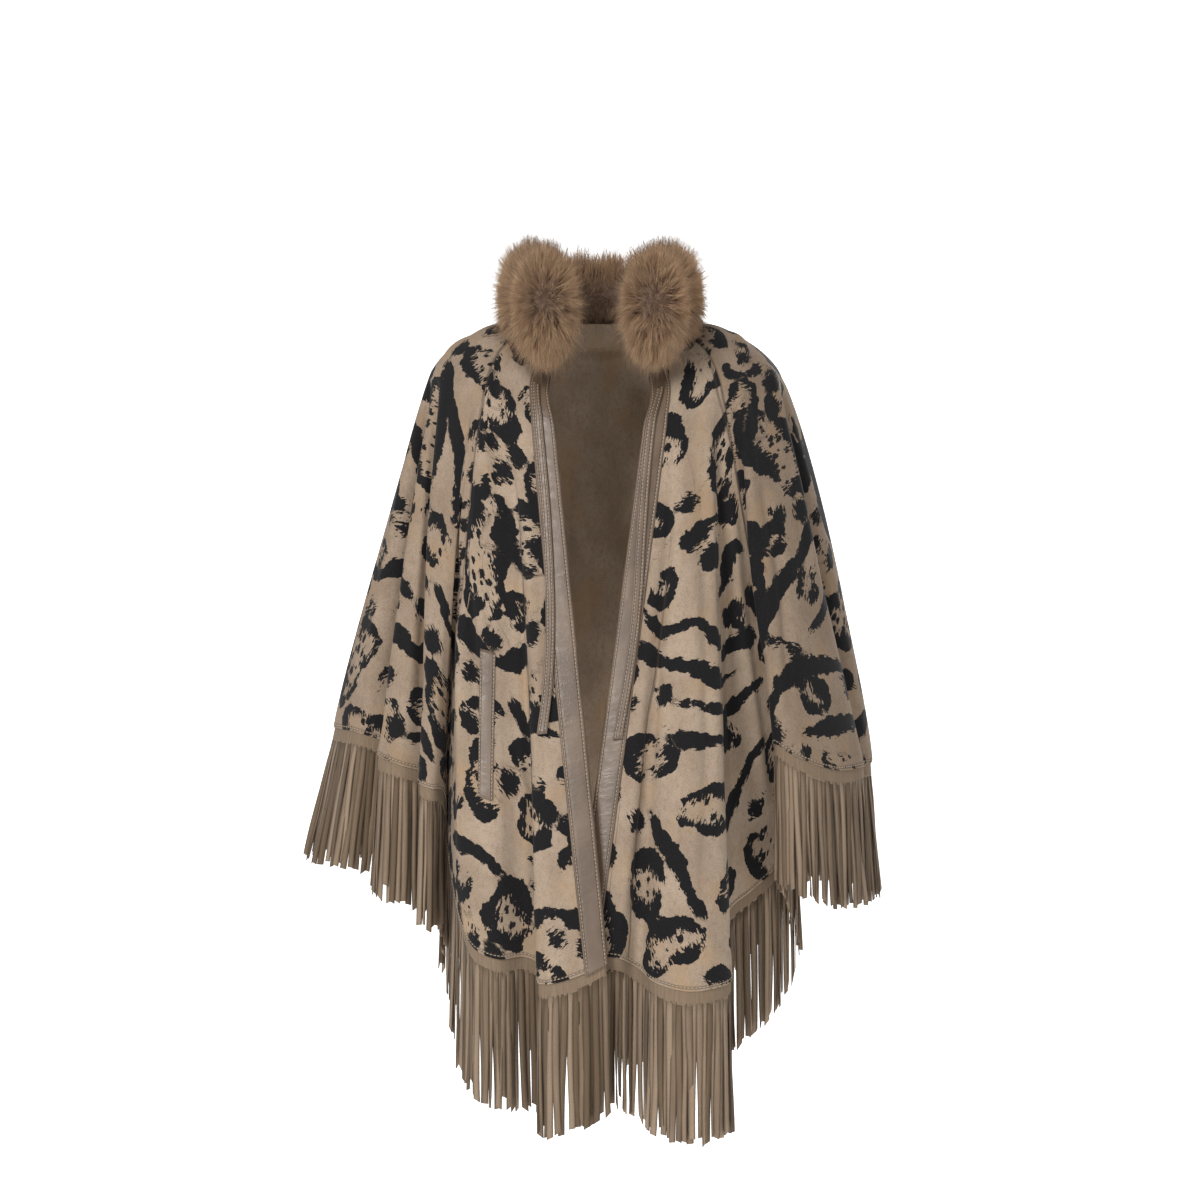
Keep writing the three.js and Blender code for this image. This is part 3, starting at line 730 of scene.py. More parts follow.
@dataclass(frozen=True)
class Thread:
    """Thick polyester sewing thread, twisted: a little lighter than the leather, with a soft shine."""

    light: str = "#C9B9A2"
    dark: str = "#8F7F6B"
    ply_mm: float = 0.625
    relief_mm: float = 0.1

    def build(self) -> Material:
        """The material, whose noise stands for the twisted plies."""
        material, tree = new_material("sewing_thread")
        place = add_node(tree, "TexCoord")["Object"]
        twist = add_node(tree, "TexNoise", {"Vector": place, "Scale": 1 / (self.ply_mm * MM),
                                            "Detail": 1.0})[0]
        base = add_node(tree, "Mix", {0: twist, 6: colour(self.dark), 7: colour(self.light)}, **RGBA)[2]
        finish_surface(tree, base, 0.7, twist, self.relief_mm, sheen=0.1, specular=0.4)
        return material


@dataclass(frozen=True)
class Fur:
    """Dyed fox on its own skin: dense pale hair over a dark root, with longer guard hairs.

    Hairs pale towards the tip, which gives the collar its soft rim. About one in five is a guard hair
    with a dark end, and each hair has a tone of its own.
    """

    root: str = "#5A4434"
    middle: str = "#C49E78"
    tip: str = "#E0C29C"
    guard: str = "#4A382A"
    dull: str = "#6B513B"
    relief_mm: float = 0.01

    def build(self) -> Material:
        """The material. hair holds the place along a hair, its tone and whether its tip is dark."""
        material, tree = new_material("fox_fur")
        hair = add_node(tree, "Attribute", attribute_name="hair")["Vector"]
        along, tone, guard = add_node(tree, "SeparateXYZ", (hair,))
        base = lay_over(tree, colour(self.root), (along, 0.12, 0.7, 1.0, self.middle),
                        (along, 0.7, 1.0, 1.0, self.tip))
        end = add_node(tree, "MapRange", (along, 0.6, 0.92), **SMOOTH)[0]
        dark = add_node(tree, "Math", (guard, end), operation="MULTIPLY")[0]
        base = add_node(tree, "Mix", {0: dark, 6: base, 7: colour(self.guard)}, **RGBA)[2]
        base = lay_over(tree, base, (tone, 1.0, 0.0, 0.4, self.dull))
        finish_surface(tree, base, 0.62, along, self.relief_mm, sheen=0.15, specular=0.35)
        return material


# ---- the print
class Shape(Enum):
    """Kinds of print motif."""

    RING = "ring"  # nearly closed, with two gaps
    HORSESHOE = "horseshoe"  # open at one side
    BLOTCH = "blotch"  # one short fat stroke
    PAIR = "pair"  # two short strokes that face each other
    HOOK = "hook"  # a fat stroke with a long thin tail


@dataclass(frozen=True)
class Stroke:
    """A brush stroke in a panel's flat coordinates.

    points holds its middle line, half its half width at each point, and ragged the side whose edge is
    bristled: 1 for the left of its way, -1 for the right. grain is the way in which the dry brush was
    drawn, as an angle, or None where it followed the stroke.
    """

    points: Array
    half: Array
    ragged: float
    grain: float | None = None


@dataclass(frozen=True)
class Motif:
    """A print motif: its kind, centre, half sizes, turn and half stroke in a panel's flat coordinates."""

    shape: Shape
    centre: Array
    across: float
    tall: float
    turn: float
    brush: float

    def place(self, x: Array, y: Array) -> Array:
        """Points given along the motif's own axes, turned and moved to its place."""
        c, s = np.cos(self.turn), np.sin(self.turn)
        return self.centre + np.stack([c * x - s * y, s * x + c * y], axis=-1)

    def radius(self, points: Array, margin: float = 0.0) -> Array:
        """How far out points lie, where 1 is the motif's ellipse made wider by a margin."""
        c, s = np.cos(self.turn), np.sin(self.turn)
        x, y = (points - self.centre).T
        return np.hypot((c * x + s * y) / (self.across + margin), (c * y - s * x) / (self.tall + margin))

    def arc(self, start: float, sweep: float, rng: Rng, grain: float, swell: float = 1.0) -> Stroke:
        """Part of the wobbling ellipse.

        The radius is 1 + three sines of the angle, squared off a little at the corners. The half
        width swells and thins along the stroke, and falls to a blunt point at its ends.

        Args:
            start: angle of its first end.
            sweep: how far it goes round.
            rng: where its wobble comes from.
            grain: the way in which the brush was drawn.
            swell: how fat the stroke is beside the motif's brush.

        Returns:
            The stroke, ragged on the inside.
        """
        share = np.linspace(0, 1, 20)
        angle = start + sweep * share
        phase = rng.uniform(0, 2 * np.pi, 4)
        radius = (1 + 0.15 * np.sin(2 * angle + phase[0]) + 0.1 * np.sin(3 * angle + phase[1])
                  + 0.05 * np.sin(6 * angle + phase[3]))
        radius *= 1 + 0.1 * np.sin(2 * angle) ** 2
        half = self.brush * swell * (1.05 + 0.42 * np.sin(2.4 * angle + phase[2]))
        end = np.sqrt(np.clip(np.minimum(share, 1 - share) * 9, 0.2, 1))
        return Stroke(self.place(self.across * radius * np.cos(angle), self.tall * radius * np.sin(angle)),
                      half * end, 1.0, grain)

    def strokes(self, rng: Rng) -> list[Stroke]:
        """The strokes of this motif."""
        start, grain = rng.uniform(0, 2 * np.pi, 2)
        if self.shape is Shape.RING:
            first = rng.uniform(2.4, 3.8)
            return [self.arc(start, first, rng, grain),
                    self.arc(start + first + 0.25, 5.7 - first, rng, grain, swell=0.8)]
        if self.shape is Shape.HORSESHOE:
            return [self.arc(start, rng.uniform(3.6, 4.9), rng, grain)]
        if self.shape is Shape.BLOTCH:
            return [self.arc(start, 1.5, rng, grain, swell=1.3)]
        if self.shape is Shape.HOOK:
            return [self.arc(start, 1.2, rng, grain, swell=1.35),
                    self.arc(start + 0.9, 2.6, rng, grain, swell=0.55)]
        return [self.arc(start, 1.9, rng, grain), self.arc(start + 3.1, 1.9, rng, grain, swell=1.15)]


@dataclass(frozen=True)
class MotifSize:
    """Bounds for motifs of one size, in millimetres, and how many places are tried for them."""

    kinds: tuple[Shape, ...]
    across: tuple[float, float]
    tall: tuple[float, float]
    brush: tuple[float, float]
    margin: float
    tries: int = 500


MOTIF_SIZES = (
    MotifSize((Shape.RING, Shape.RING, Shape.HORSESHOE, Shape.HORSESHOE, Shape.PAIR),
              across=(19, 25), tall=(25, 36), brush=(6.8, 9.6), margin=18),
    MotifSize((Shape.HOOK, Shape.PAIR, Shape.HORSESHOE, Shape.RING),
              across=(11, 16), tall=(14, 22), brush=(6.2, 8.6), margin=15),
    MotifSize((Shape.BLOTCH, Shape.HOOK), across=(6, 9), tall=(8, 13), brush=(5.4, 7.6), margin=13.5),
)


@dataclass
class PrintMarks:
    """The print as values at a panel's points.

    ink is the distance to the nearest stroke's edge, below zero inside it. stroke holds the distance
    along it, the distance across it and how ragged the edge is. speck is 1 in hollows that hold specks.
    """

    flat: Array
    ink: Array = field(init=False)
    stroke: Array = field(init=False)
    speck: Array = field(init=False)
    taken: Array = field(init=False)
    reach: float = 24.0
    smooth: float = 0.12  # how bristled the smooth side of a stroke is
    tails: tuple[float, float] = (1.0, 7.0)  # distances from a stroke's end between which it is bristled
    hollow: tuple[float, float] = (0.7, 1.1)  # shares of a motif's size between which specks end

    def __post_init__(self) -> None:
        """Starts with bare cloth."""
        self.taken = np.zeros((0, 2))
        self.ink = np.full(len(self.flat), self.reach)
        self.stroke = np.zeros((len(self.flat), 3))
        self.speck = np.zeros(len(self.flat))

    def near(self, points: Array, margin: float) -> Array:
        """Numbers of the cloth's points in the box round some points."""
        inside = np.all((self.flat > points.min(0) - margin) & (self.flat < points.max(0) + margin), axis=1)
        return np.flatnonzero(inside)

    def brush(self, stroke: Stroke) -> None:
        """Lays a stroke: for each point near it, the least distance to its segments' edges."""
        self.taken = np.concatenate([self.taken, stroke.points])
        here = self.near(stroke.points, self.reach + stroke.half.max())
        near = beside(self.flat[here], stroke.points, stroke.half)
        tail = np.minimum(near.along, near.length - near.along)
        rough = np.where(near.side * stroke.ragged > 0, abs(stroke.ragged), self.smooth)
        hatch = np.maximum(rough, 1 - smooth_step(tail, *self.tails))
        if stroke.grain is None:
            shift = stroke.points[0].sum() * 7.3  # so that no two strokes are bristled alike
            drawn = np.stack([near.along + shift, near.side * near.away], axis=-1)
        else:
            c, s = np.cos(stroke.grain), np.sin(stroke.grain)
            shift = stroke.grain * 300
            drawn = self.flat[here] @ np.array([[c, -s], [s, c]]) + shift
        closer = near.distance < self.ink[here]
        chosen = here[closer]
        self.ink[chosen] = near.distance[closer]
        self.stroke[chosen] = np.concatenate([drawn, hatch[:, None]], axis=1)[closer]

    def clear(self, motif: Motif, margin: float) -> bool:
        """Whether no stroke comes nearer a motif than the margin."""
        return bool((motif.radius(self.taken, margin) > 1).all())

    def add(self, motif: Motif, rng: Rng) -> None:
        """Lays a motif's strokes, and specks in it where it is hollow."""
        for stroke in motif.strokes(rng):
            self.brush(stroke)
        inside = motif.place(np.zeros(5), np.linspace(-0.7, 0.7, 5) * motif.tall)
        self.taken = np.concatenate([self.taken, inside])
        if motif.shape in (Shape.RING, Shape.HORSESHOE):
            self.fleck(motif)

    def fleck(self, motif: Motif) -> None:
        """Marks a motif's hollow to hold specks."""
        rim = motif.place(*(np.array([[-1, 1, 1, -1], [-1, -1, 1, 1]]) * [[motif.across], [motif.tall]]))
        here = self.near(rim, 4)
        inside = 1 - smooth_step(motif.radius(self.flat[here]), *self.hollow)
        self.speck[here] = np.maximum(self.speck[here], inside)


# ---- panels
@dataclass
class SuedePanel:
    """A printed suede panel: a thin closed shell on the draped surface between two columns."""

    name: str
    start: int
    end: int
    spacing: float = 4.2
    wall: float = 1.3
    seam_dip: float = 1.1
    seam_wide: float = 2.4
    crease_end: float = 18.0  # creases fade over this much at the sides
    far: float = 20.0  # no seam is marked as further away than this
    shift: float = 31.0  # how far the panels' patterns lie from each other's
    skin: float = 0.0  # painted shade: how much darker the whole panel is painted where it turns from the light, up to 1
    airy: float = 1.0  # how far apart its motifs lie
    seed: int = 1
    creases: Rows = ()
    seams: Rows = ()
    stripes: Rows = ()
    loops: Rows = ()
    columns: Array = field(init=False)
    downs: Array = field(init=False)
    points: Array = field(init=False)
    flat: Array = field(init=False)

    def __post_init__(self) -> None:
        """Spaces the grid evenly along the hem and down the cloth, closer at the edges."""
        fine = np.linspace(self.start, self.end, (self.end - self.start) * 40 + 1)
        reach = run_along(DRAPE.surface(fine, 2.0))
        self.columns = np.interp(self.spread(reach[-1]), reach, fine)
        rows = np.linspace(0, 2, 161)
        middle = np.linspace(self.start, self.end, 9)[:, None]
        steps = lengths(np.diff(DRAPE.surface(middle, rows), axis=1)).mean(0)
        depth = np.concatenate([[0], np.cumsum(steps)])
        self.downs = np.interp(self.spread(depth[-1]), depth, rows)
        self.points = DRAPE.surface(self.columns[:, None], self.downs[None, :])
        # flat coordinates: how far round from the middle column, and how far down from the neck
        wide, tall = (lengths(np.diff(self.points, axis=axis)) for axis in (0, 1))
        u = np.concatenate([np.zeros((1, len(self.downs))), np.cumsum(wide, axis=0)])
        v = np.concatenate([np.zeros((len(self.columns), 1)), np.cumsum(tall, axis=1)], axis=1)
        self.flat = np.stack([u - u[len(u) // 2], v], axis=-1)

    def spread(self, length: float) -> Array:
        """Distances from 0 to a length, a few close together at both ends and even between."""
        rim, inset = np.array([0.0, 1.3, 2.8, 4.6]), 7.5
        middle = np.linspace(inset, length - inset, int(length / self.spacing))
        return np.concatenate([rim, middle, length - rim[::-1]])

    def flat_at(self, column: float, down: float) -> Array:
        """Flat coordinates of a place, straight between the grid's points."""
        i = np.interp(column, self.columns, np.arange(len(self.columns)))
        j = np.interp(down, self.downs, np.arange(len(self.downs)))
        i0, j0 = min(int(i), len(self.columns) - 2), min(int(j), len(self.downs) - 2)
        left, right = self.flat[i0], self.flat[i0 + 1]
        above = mix(left[j0], right[j0], i - i0)
        below = mix(left[j0 + 1], right[j0 + 1], i - i0)
        return mix(above, below, j - j0)

    def marks(self) -> PrintMarks:
        """The print: listed stripes and loops first, then motifs packed between them.

        A motif's place is taken at random from the cloth's points. It is kept where an ellipse round
        the motif, wider than it by its size's margin, holds no stroke yet. Large ones come first.
        """
        rng = np.random.default_rng(self.seed)
        marks = PrintMarks(self.flat.reshape(-1, 2))
        for half, *places in self.stripes:
            marks.brush(self.stripe(self.path(places), half, rng))
        for half, across, tall, turn, column, down in self.loops:
            place = self.flat_at(column, down)
            marks.add(Motif(Shape.RING, place, across, tall, np.radians(turn), half), rng)
        for size in MOTIF_SIZES:
            for _ in range(size.tries):
                centre = marks.flat[rng.integers(len(marks.flat))] + rng.uniform(-2, 2, 2)
                motif = Motif(size.kinds[rng.integers(len(size.kinds))], centre,
                              rng.uniform(*size.across), rng.uniform(*size.tall),
                              rng.uniform(0, 2 * np.pi), rng.uniform(*size.brush))
                if marks.clear(motif, size.margin * self.airy):
                    marks.add(motif, rng)
        return marks

    def path(self, places: tuple[float, ...]) -> Array:
        """Flat points for a row of columns and downs in turn."""
        return np.array([self.flat_at(c, d) for c, d in zip(places[::2], places[1::2])])

    @staticmethod
    def stripe(knots: Array, half: float, rng: Rng) -> Stroke:
        """A long stroke through some flat points, with a slow wave in its line and its width."""
        share = np.linspace(0, 1, 12 * len(knots))
        line = curve_through(share * (len(knots) - 1), knots)
        phase = rng.uniform(0, 2 * np.pi, 2)
        way = unit(np.gradient(line, axis=0))
        line = line + way[:, ::-1] * (1, -1) * (1.8 * np.sin(share * 11 + phase[0]))[:, None]
        end = np.sqrt(np.clip(np.minimum(share, 1 - share) * 10, 0.1, 1))
        wave = 1 + 0.26 * np.sin(share * 2.6 * len(knots) + phase[1])
        return Stroke(line, half * end * wave, rng.choice([-0.42, 0.42]))

    def from_path(self, places: tuple[float, ...]) -> tuple[Array, Array]:
        """How far the cloth's points are from a smooth path, and where along it each is nearest.

        Args:
            places: a column and a down in turn for each point on the path.

        Returns:
            Distances, above zero on the left of its way, and shares of its length.
        """
        knots = self.path(places)
        line = curve_through(np.linspace(0, len(knots) - 1, 8 * len(knots)), knots)
        near = beside(self.flat.reshape(-1, 2), line)
        return near.side * near.distance, near.along / near.length

    def creased(self) -> Array:
        """Heights of the creases, which fade at both ends, and of the dips along the side seams."""
        height = np.zeros(self.flat[..., 0].size)
        for tall, wide, *places in self.creases:
            distance, share = self.from_path(places)
            fade = np.sqrt(4 * share * np.clip(1 - share, 0, 1))
            height += tall * np.exp(-(distance / wide) ** 2) * fade
        height = height.reshape(self.points.shape[:2])
        edge = self.side_distance()
        height *= smooth_step(edge, 0, self.crease_end)
        height -= self.seam_dip * np.exp(-(edge / self.seam_wide) ** 2)
        # flat at the fronts' edges, where the bands lie
        return height * smooth_step(np.minimum(self.columns, DRAPE.last - self.columns), 0.4, 1.6)[:, None]

    def side_distance(self) -> Array:
        """Distance of each point from the nearer side of the panel."""
        u = self.flat[..., 0]
        return np.minimum(u - u[:1], u[-1:] - u)

    def seam_distance(self) -> Array:
        """Signed distance to the nearest seam: the panel's sides, inner seams and the hem's sewing."""
        v = self.flat[..., 1]
        edge = self.side_distance().ravel()
        hem = (v[:, -1:] - v - HEM_SEWN).ravel()
        nearest = np.where(np.abs(hem) < edge, hem, edge)
        for places in self.seams:
            distance, _ = self.from_path(places)
            nearest = np.where(np.abs(distance) < np.abs(nearest), distance, nearest)
        return np.clip(nearest, -self.far, self.far)

    def build(self, finish: Material) -> Piece:
        """Makes the shell: the outer face, an inner face a wall's thickness in, and their rim.

        Args:
            finish: printed suede.

        Returns:
            The panel, which replaces its solid.
        """
        along, out = DRAPE.frame(self.columns[:, None], self.downs)
        outer = self.points + out * self.creased()[..., None]
        outer[0] += along[0] * SEAM_GAP / 2
        outer[-1] -= along[-1] * SEAM_GAP / 2
        inner = outer - out * self.wall
        marks = self.marks()
        own = np.full((marks.ink.size, 1), self.shift * self.seed)
        flat = np.concatenate([self.flat.reshape(-1, 2), own], axis=1)
        face = np.stack([marks.ink, marks.speck, self.seam_distance()], axis=-1)
        plain = np.tile([marks.reach, 0.0, self.far], (marks.ink.size, 1))
        wide, tall = outer.shape[:2]
        piece = make_piece(
            f"suede_{self.name}", np.concatenate([outer.reshape(-1, 3), inner.reshape(-1, 3)]),
            [wall_faces(wide, tall)], finish,
            {"flat": np.tile(flat, (2, 1)), "marks": np.concatenate([face, plain]),
             "stroke": np.concatenate([marks.stroke, np.zeros_like(marks.stroke)]),
             # skin: the panel's share of painted shade
             "skin": np.full(2 * marks.ink.size, self.skin)})
        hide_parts(self.name)
        return piece

    def hem_line(self) -> SewnLine:
        """The line sewn above the hem: points and unit vectors out of the cloth."""
        columns = np.linspace(self.start + 0.02, self.end - 0.02, (self.end - self.start) * 24)
        fall = lengths(DRAPE.surface(columns, 2.0) - DRAPE.surface(columns, 1.0))
        downs = 2 - HEM_SEWN / fall
        _, out = DRAPE.frame(columns, downs)
        return DRAPE.surface(columns, downs) + out * 0.1, out

    def cut(self) -> tuple[float, float, float]:
        """The panel's flat cut in metres: its width at the hem, its length, and its area."""
        p = self.points
        quads = np.cross(p[1:, 1:] - p[:-1, :-1], p[:-1, 1:] - p[1:, :-1])
        area = float(lengths(quads).sum()) / 2 * MM ** 2
        width = float(np.ptp(self.flat[:, -1, 0])) * MM
        return width, float(self.flat[..., 1].max()) * MM, area


# ---- fringe
@dataclass
class HemFringe:
    """A strip of suede under a panel's hem, uncut at the top and cut into strands below."""

    name: str
    start: int
    end: int
    length: float
    seed: int
    strip: float = 15.0
    lap: float = 5.0
    short_of: float = 0.4  # the strip ends this far from the panel's sides
    pitch: float = 5.6
    uneven: float = 1.0
    wide: float = 7.2  # a strand's width, more than the pitch, as they lap
    widths: tuple[float, float] = (0.86, 1.08)
    thick: float = 1.2
    behind: float = 1.6
    hidden: float = 2.0  # how far a strand starts above the strip's end
    tips: tuple[float, float] = (-5.0, 3.0)
    short: tuple[float, float] = (0.05, 11.0)  # share of strands cut short, and by how much
    tilt: float = 0.006
    sway: tuple[float, float] = (1.05, 0.9)  # drift at the tip along the hem, and a wave
    swing: tuple[float, float] = (1.5, 1.1)  # the same out of the cloth
    stagger: float = 0.75  # every other strand lies further out
    twist: float = 0.35
    curled: tuple[float, float] = (0.16, 1.5)  # share of strands that curl, and how far they turn
    slant: float = 1.5
    tones: tuple[float, float] = (0.42, 0.3)
    pale: tuple[float, float] = (0.07, 1.15)  # share of pale strands, and their tone
    stations: int = 12

    def hem_reach(self) -> tuple[Array, Array]:
        """Fine columns along the hem and their distances."""
        fine = np.linspace(self.start, self.end, (self.end - self.start) * 60 + 1)
        return fine, run_along(DRAPE.surface(fine, 2.0))

    def strip_wall(self) -> tuple[Array, Array, Array]:
        """The uncut strip: it starts behind the hem on the cloth's slope, then hangs.

        Returns:
            Points, faces and flat coordinates.
        """
        fine, reach = self.hem_reach()
        even = np.linspace(self.short_of, reach[-1] - self.short_of, int(reach[-1] / 5))
        columns = np.interp(even, reach, fine)
        _, out = DRAPE.frame(columns, 2.0)
        fall = lengths(DRAPE.surface(columns, 2.0) - DRAPE.surface(columns, 1.0))
        top = DRAPE.surface(columns, 2 - self.lap / fall)
        hem = DRAPE.surface(columns, 2.0)
        way = DRAPE.hanging(columns)
        levels = (4.0, 8.0, 12.0, self.strip)
        rows = [top, hem] + [hem + way * level for level in levels]
        outer = np.stack(rows, axis=1) - out[:, None] * self.behind
        inner = outer - out[:, None] * self.thick
        wide, tall = outer.shape[:2]
        across = np.linspace(0, reach[-1], wide)[:, None] + np.zeros(tall)
        down = np.array([-self.lap, 0, *levels]) + np.zeros((wide, 1))
        flat = np.stack([across, down, np.full_like(down, self.seed * 3.0)], axis=-1).reshape(-1, 3)
        return (np.concatenate([outer.reshape(-1, 3), inner.reshape(-1, 3)]), wall_faces(wide, tall),
                np.tile(flat, (2, 1)))

    def strands(self) -> tuple[Array, Array, Array, Array, Array]:
        """The strands: four-sided ribbons that hang, sway, twist a little and end on a slant.

        A strand's middle line is its root plus its way times the distance, plus a sway that grows
        with the distance. Its width turns about that line by a twist that grows likewise.

        Returns:
            Points, faces, flat coordinates, tones, and -1 or 1 at the two edges.
        """
        rng = np.random.default_rng(self.seed)
        fine, reach = self.hem_reach()
        count = round(reach[-1] / self.pitch)
        cuts = np.linspace(0, reach[-1], count + 1)
        cuts[1:-1] += rng.uniform(-self.uneven, self.uneven, count - 1)
        west = np.interp(cuts[:-1] + 0.25, reach, fine)
        east = np.interp(cuts[1:] - 0.25, reach, fine)
        centre = (west + east) / 2
        left, right = DRAPE.surface(west, 2.0), DRAPE.surface(east, 2.0)
        way = unit(DRAPE.hanging(centre) + rng.normal(0, self.tilt, (count, 3)))
        along = unit(right - left)
        out = unit(np.cross(along, way))
        half = np.full(count, self.wide / 2) * rng.uniform(*self.widths, count)
        share = np.linspace(0, 1, self.stations)[None, :]
        top = self.strip - self.hidden
        length = self.length - top + rng.uniform(*self.tips, count)
        length -= np.where(rng.random(count) < self.short[0], self.short[1], 0.0)
        distance = top + length[:, None] * share
        grow = share ** 1.6
        phase = rng.uniform(0, 2 * np.pi, (3, count, 1))
        drift, wave = self.sway
        sway = rng.normal(0, drift, (count, 1)) * grow + wave * np.sin(5 * share + phase[0]) * share
        drift, wave = self.swing
        swing = rng.normal(0, drift, (count, 1)) * grow + wave * np.sin(4 * share + phase[1]) * share
        swing += np.where(np.arange(count)[:, None] % 2, -1, 1) * self.stagger * np.minimum(share * 5, 1)
        twist = rng.normal(0, self.twist, (count, 1)) * grow
        often, far = self.curled
        twist += np.where(rng.random((count, 1)) < often, rng.uniform(-far, far, (count, 1)), 0) * share
        wide = half[:, None] * (1.02 - 0.04 * share) * (1 + 0.05 * np.sin(7 * share + phase[2]))
        slant = rng.normal(0, self.slant, count)[:, None] * np.where(share == 1, 1, 0)
        middle = ((left + right) / 2)[:, None] - out[:, None] * (self.behind + self.thick / 2)
        way, along, out = way[:, None], along[:, None], out[:, None]
        line = middle + way * distance[..., None] + along * sway[..., None] + out * swing[..., None]
        c, s = np.cos(twist)[..., None], np.sin(twist)[..., None]
        across, normal = along * c + out * s, out * c - along * s
        corners = [line + across * (x * wide)[..., None] + normal * (z * self.thick / 2)
                   + way * (x * slant)[..., None] for x, z in ((-1, 1), (-1, -1), (1, -1), (1, 1))]
        points = np.stack(corners, axis=2)  # strand, station, corner
        stride = self.stations * 4
        one = grid_quads(self.stations, 4, closed=True)[:, ::-1]
        caps = np.array([[0, 1, 2, 3], [stride - 1, stride - 2, stride - 3, stride - 4]])
        faces = evenly(count, np.concatenate([one, caps]), stride)
        rim = np.array([-1.0, -1.0, 1.0, 1.0])
        side = rim * wide[..., None] + cuts[:-1, None, None] * 1.7
        own = np.arange(count)[:, None, None] * 5.0  # each strand has a grain of its own
        flat = np.stack(np.broadcast_arrays(side, distance[..., None], own), axis=-1)
        tone = np.clip(rng.normal(*self.tones, count), 0, 1)
        often, pale = self.pale
        tone = np.where(rng.random(count) < often, pale, tone)
        return (points.reshape(-1, 3), faces, flat.reshape(-1, 3), np.repeat(tone, stride),
                np.tile(rim, count * self.stations))

    def build(self, finish: Material) -> Piece:
        """Makes the strip and its strands as one piece, which replaces its solid."""
        points, faces, flat = self.strip_wall()
        more, strands, more_flat, tone, rim = self.strands()
        piece = make_piece(
            f"cut_{self.name}", np.concatenate([points, more]), [faces, strands + len(points)], finish,
            {"flat": np.concatenate([flat, more_flat]),
                             "tone": np.concatenate([np.full(len(points), 0.5), tone]),
                             "rim": np.concatenate([np.zeros(len(points)), rim])})
        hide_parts(self.name)
        return piece


# ---- leather straps
def columns_from(edge: int, distances: Array, downs: Array) -> Array:
    """Columns at distances in from a front edge along the cloth.

    Args:
        edge: 0 for the right front edge, or the last column for the left one.
        distances: a row of distances for each down.
        downs: places down the cloth.

    Returns:
        Columns in the shape of the distances.
    """
    way = 1 if edge == 0 else -1
    fine = edge + way * np.linspace(0, 3, 91)
    line = DRAPE.surface(fine[None, :], downs[:, None])
    steps = lengths(np.diff(line, axis=1))
    reach = np.concatenate([np.zeros((len(downs), 1)), np.cumsum(steps, axis=1)], axis=1)
    return np.stack([np.interp(d, r, fine) for d, r in zip(distances, reach)])


def rounded_box(wide: float, thick: float, steps: int = 20, power: float = 0.28) -> Array:
    """A closed section with soft corners: a superellipse, each of whose sides is nearly straight.

    Args:
        wide: its width.
        thick: its thickness.
        steps: points round it.
        power: 1 gives an ellipse and 0 a sharp box.

    Returns:
        Distances across and up for each point.
    """
    turn = np.linspace(0, 2 * np.pi, steps, endpoint=False) + np.pi / steps
    c, s = np.cos(turn), np.sin(turn)
    c, s = (np.sign(way) * np.abs(way) ** power for way in (c, s))
    return np.stack([wide / 2 * c, thick / 2 * s], axis=-1)


def leather_tube(name: str, points: Array, section: Array, run: Array, sewn: Array, own: float,
                 finish: Material) -> Piece:
    """Makes a strap as a closed tube with a flat cap at each end.

    Args:
        name: the piece's name.
        points: a grid of points, a row for each section.
        section: distances across and up of a section's points.
        run: each row's distance down the strap.
        sewn: each section point's distances from two sewn lines.
        own: where in the leather's pattern the strap lies.
        finish: leather.

    Returns:
        The strap, with its faces outwards.
    """
    rows, sides = points.shape[:2]
    caps = np.stack([np.arange(sides)[::-1], (rows - 1) * sides + np.arange(sides)])
    flat = np.stack(np.broadcast_arrays(section[:, 0], run[:, None], float(own)), axis=-1)
    piece = make_piece(name, points.reshape(-1, 3), [grid_quads(rows, sides, closed=True), caps], finish,
                       {"flat": flat.reshape(-1, 3), "sewn": np.tile(sewn, (rows, 1))})
    outward(piece)
    return piece


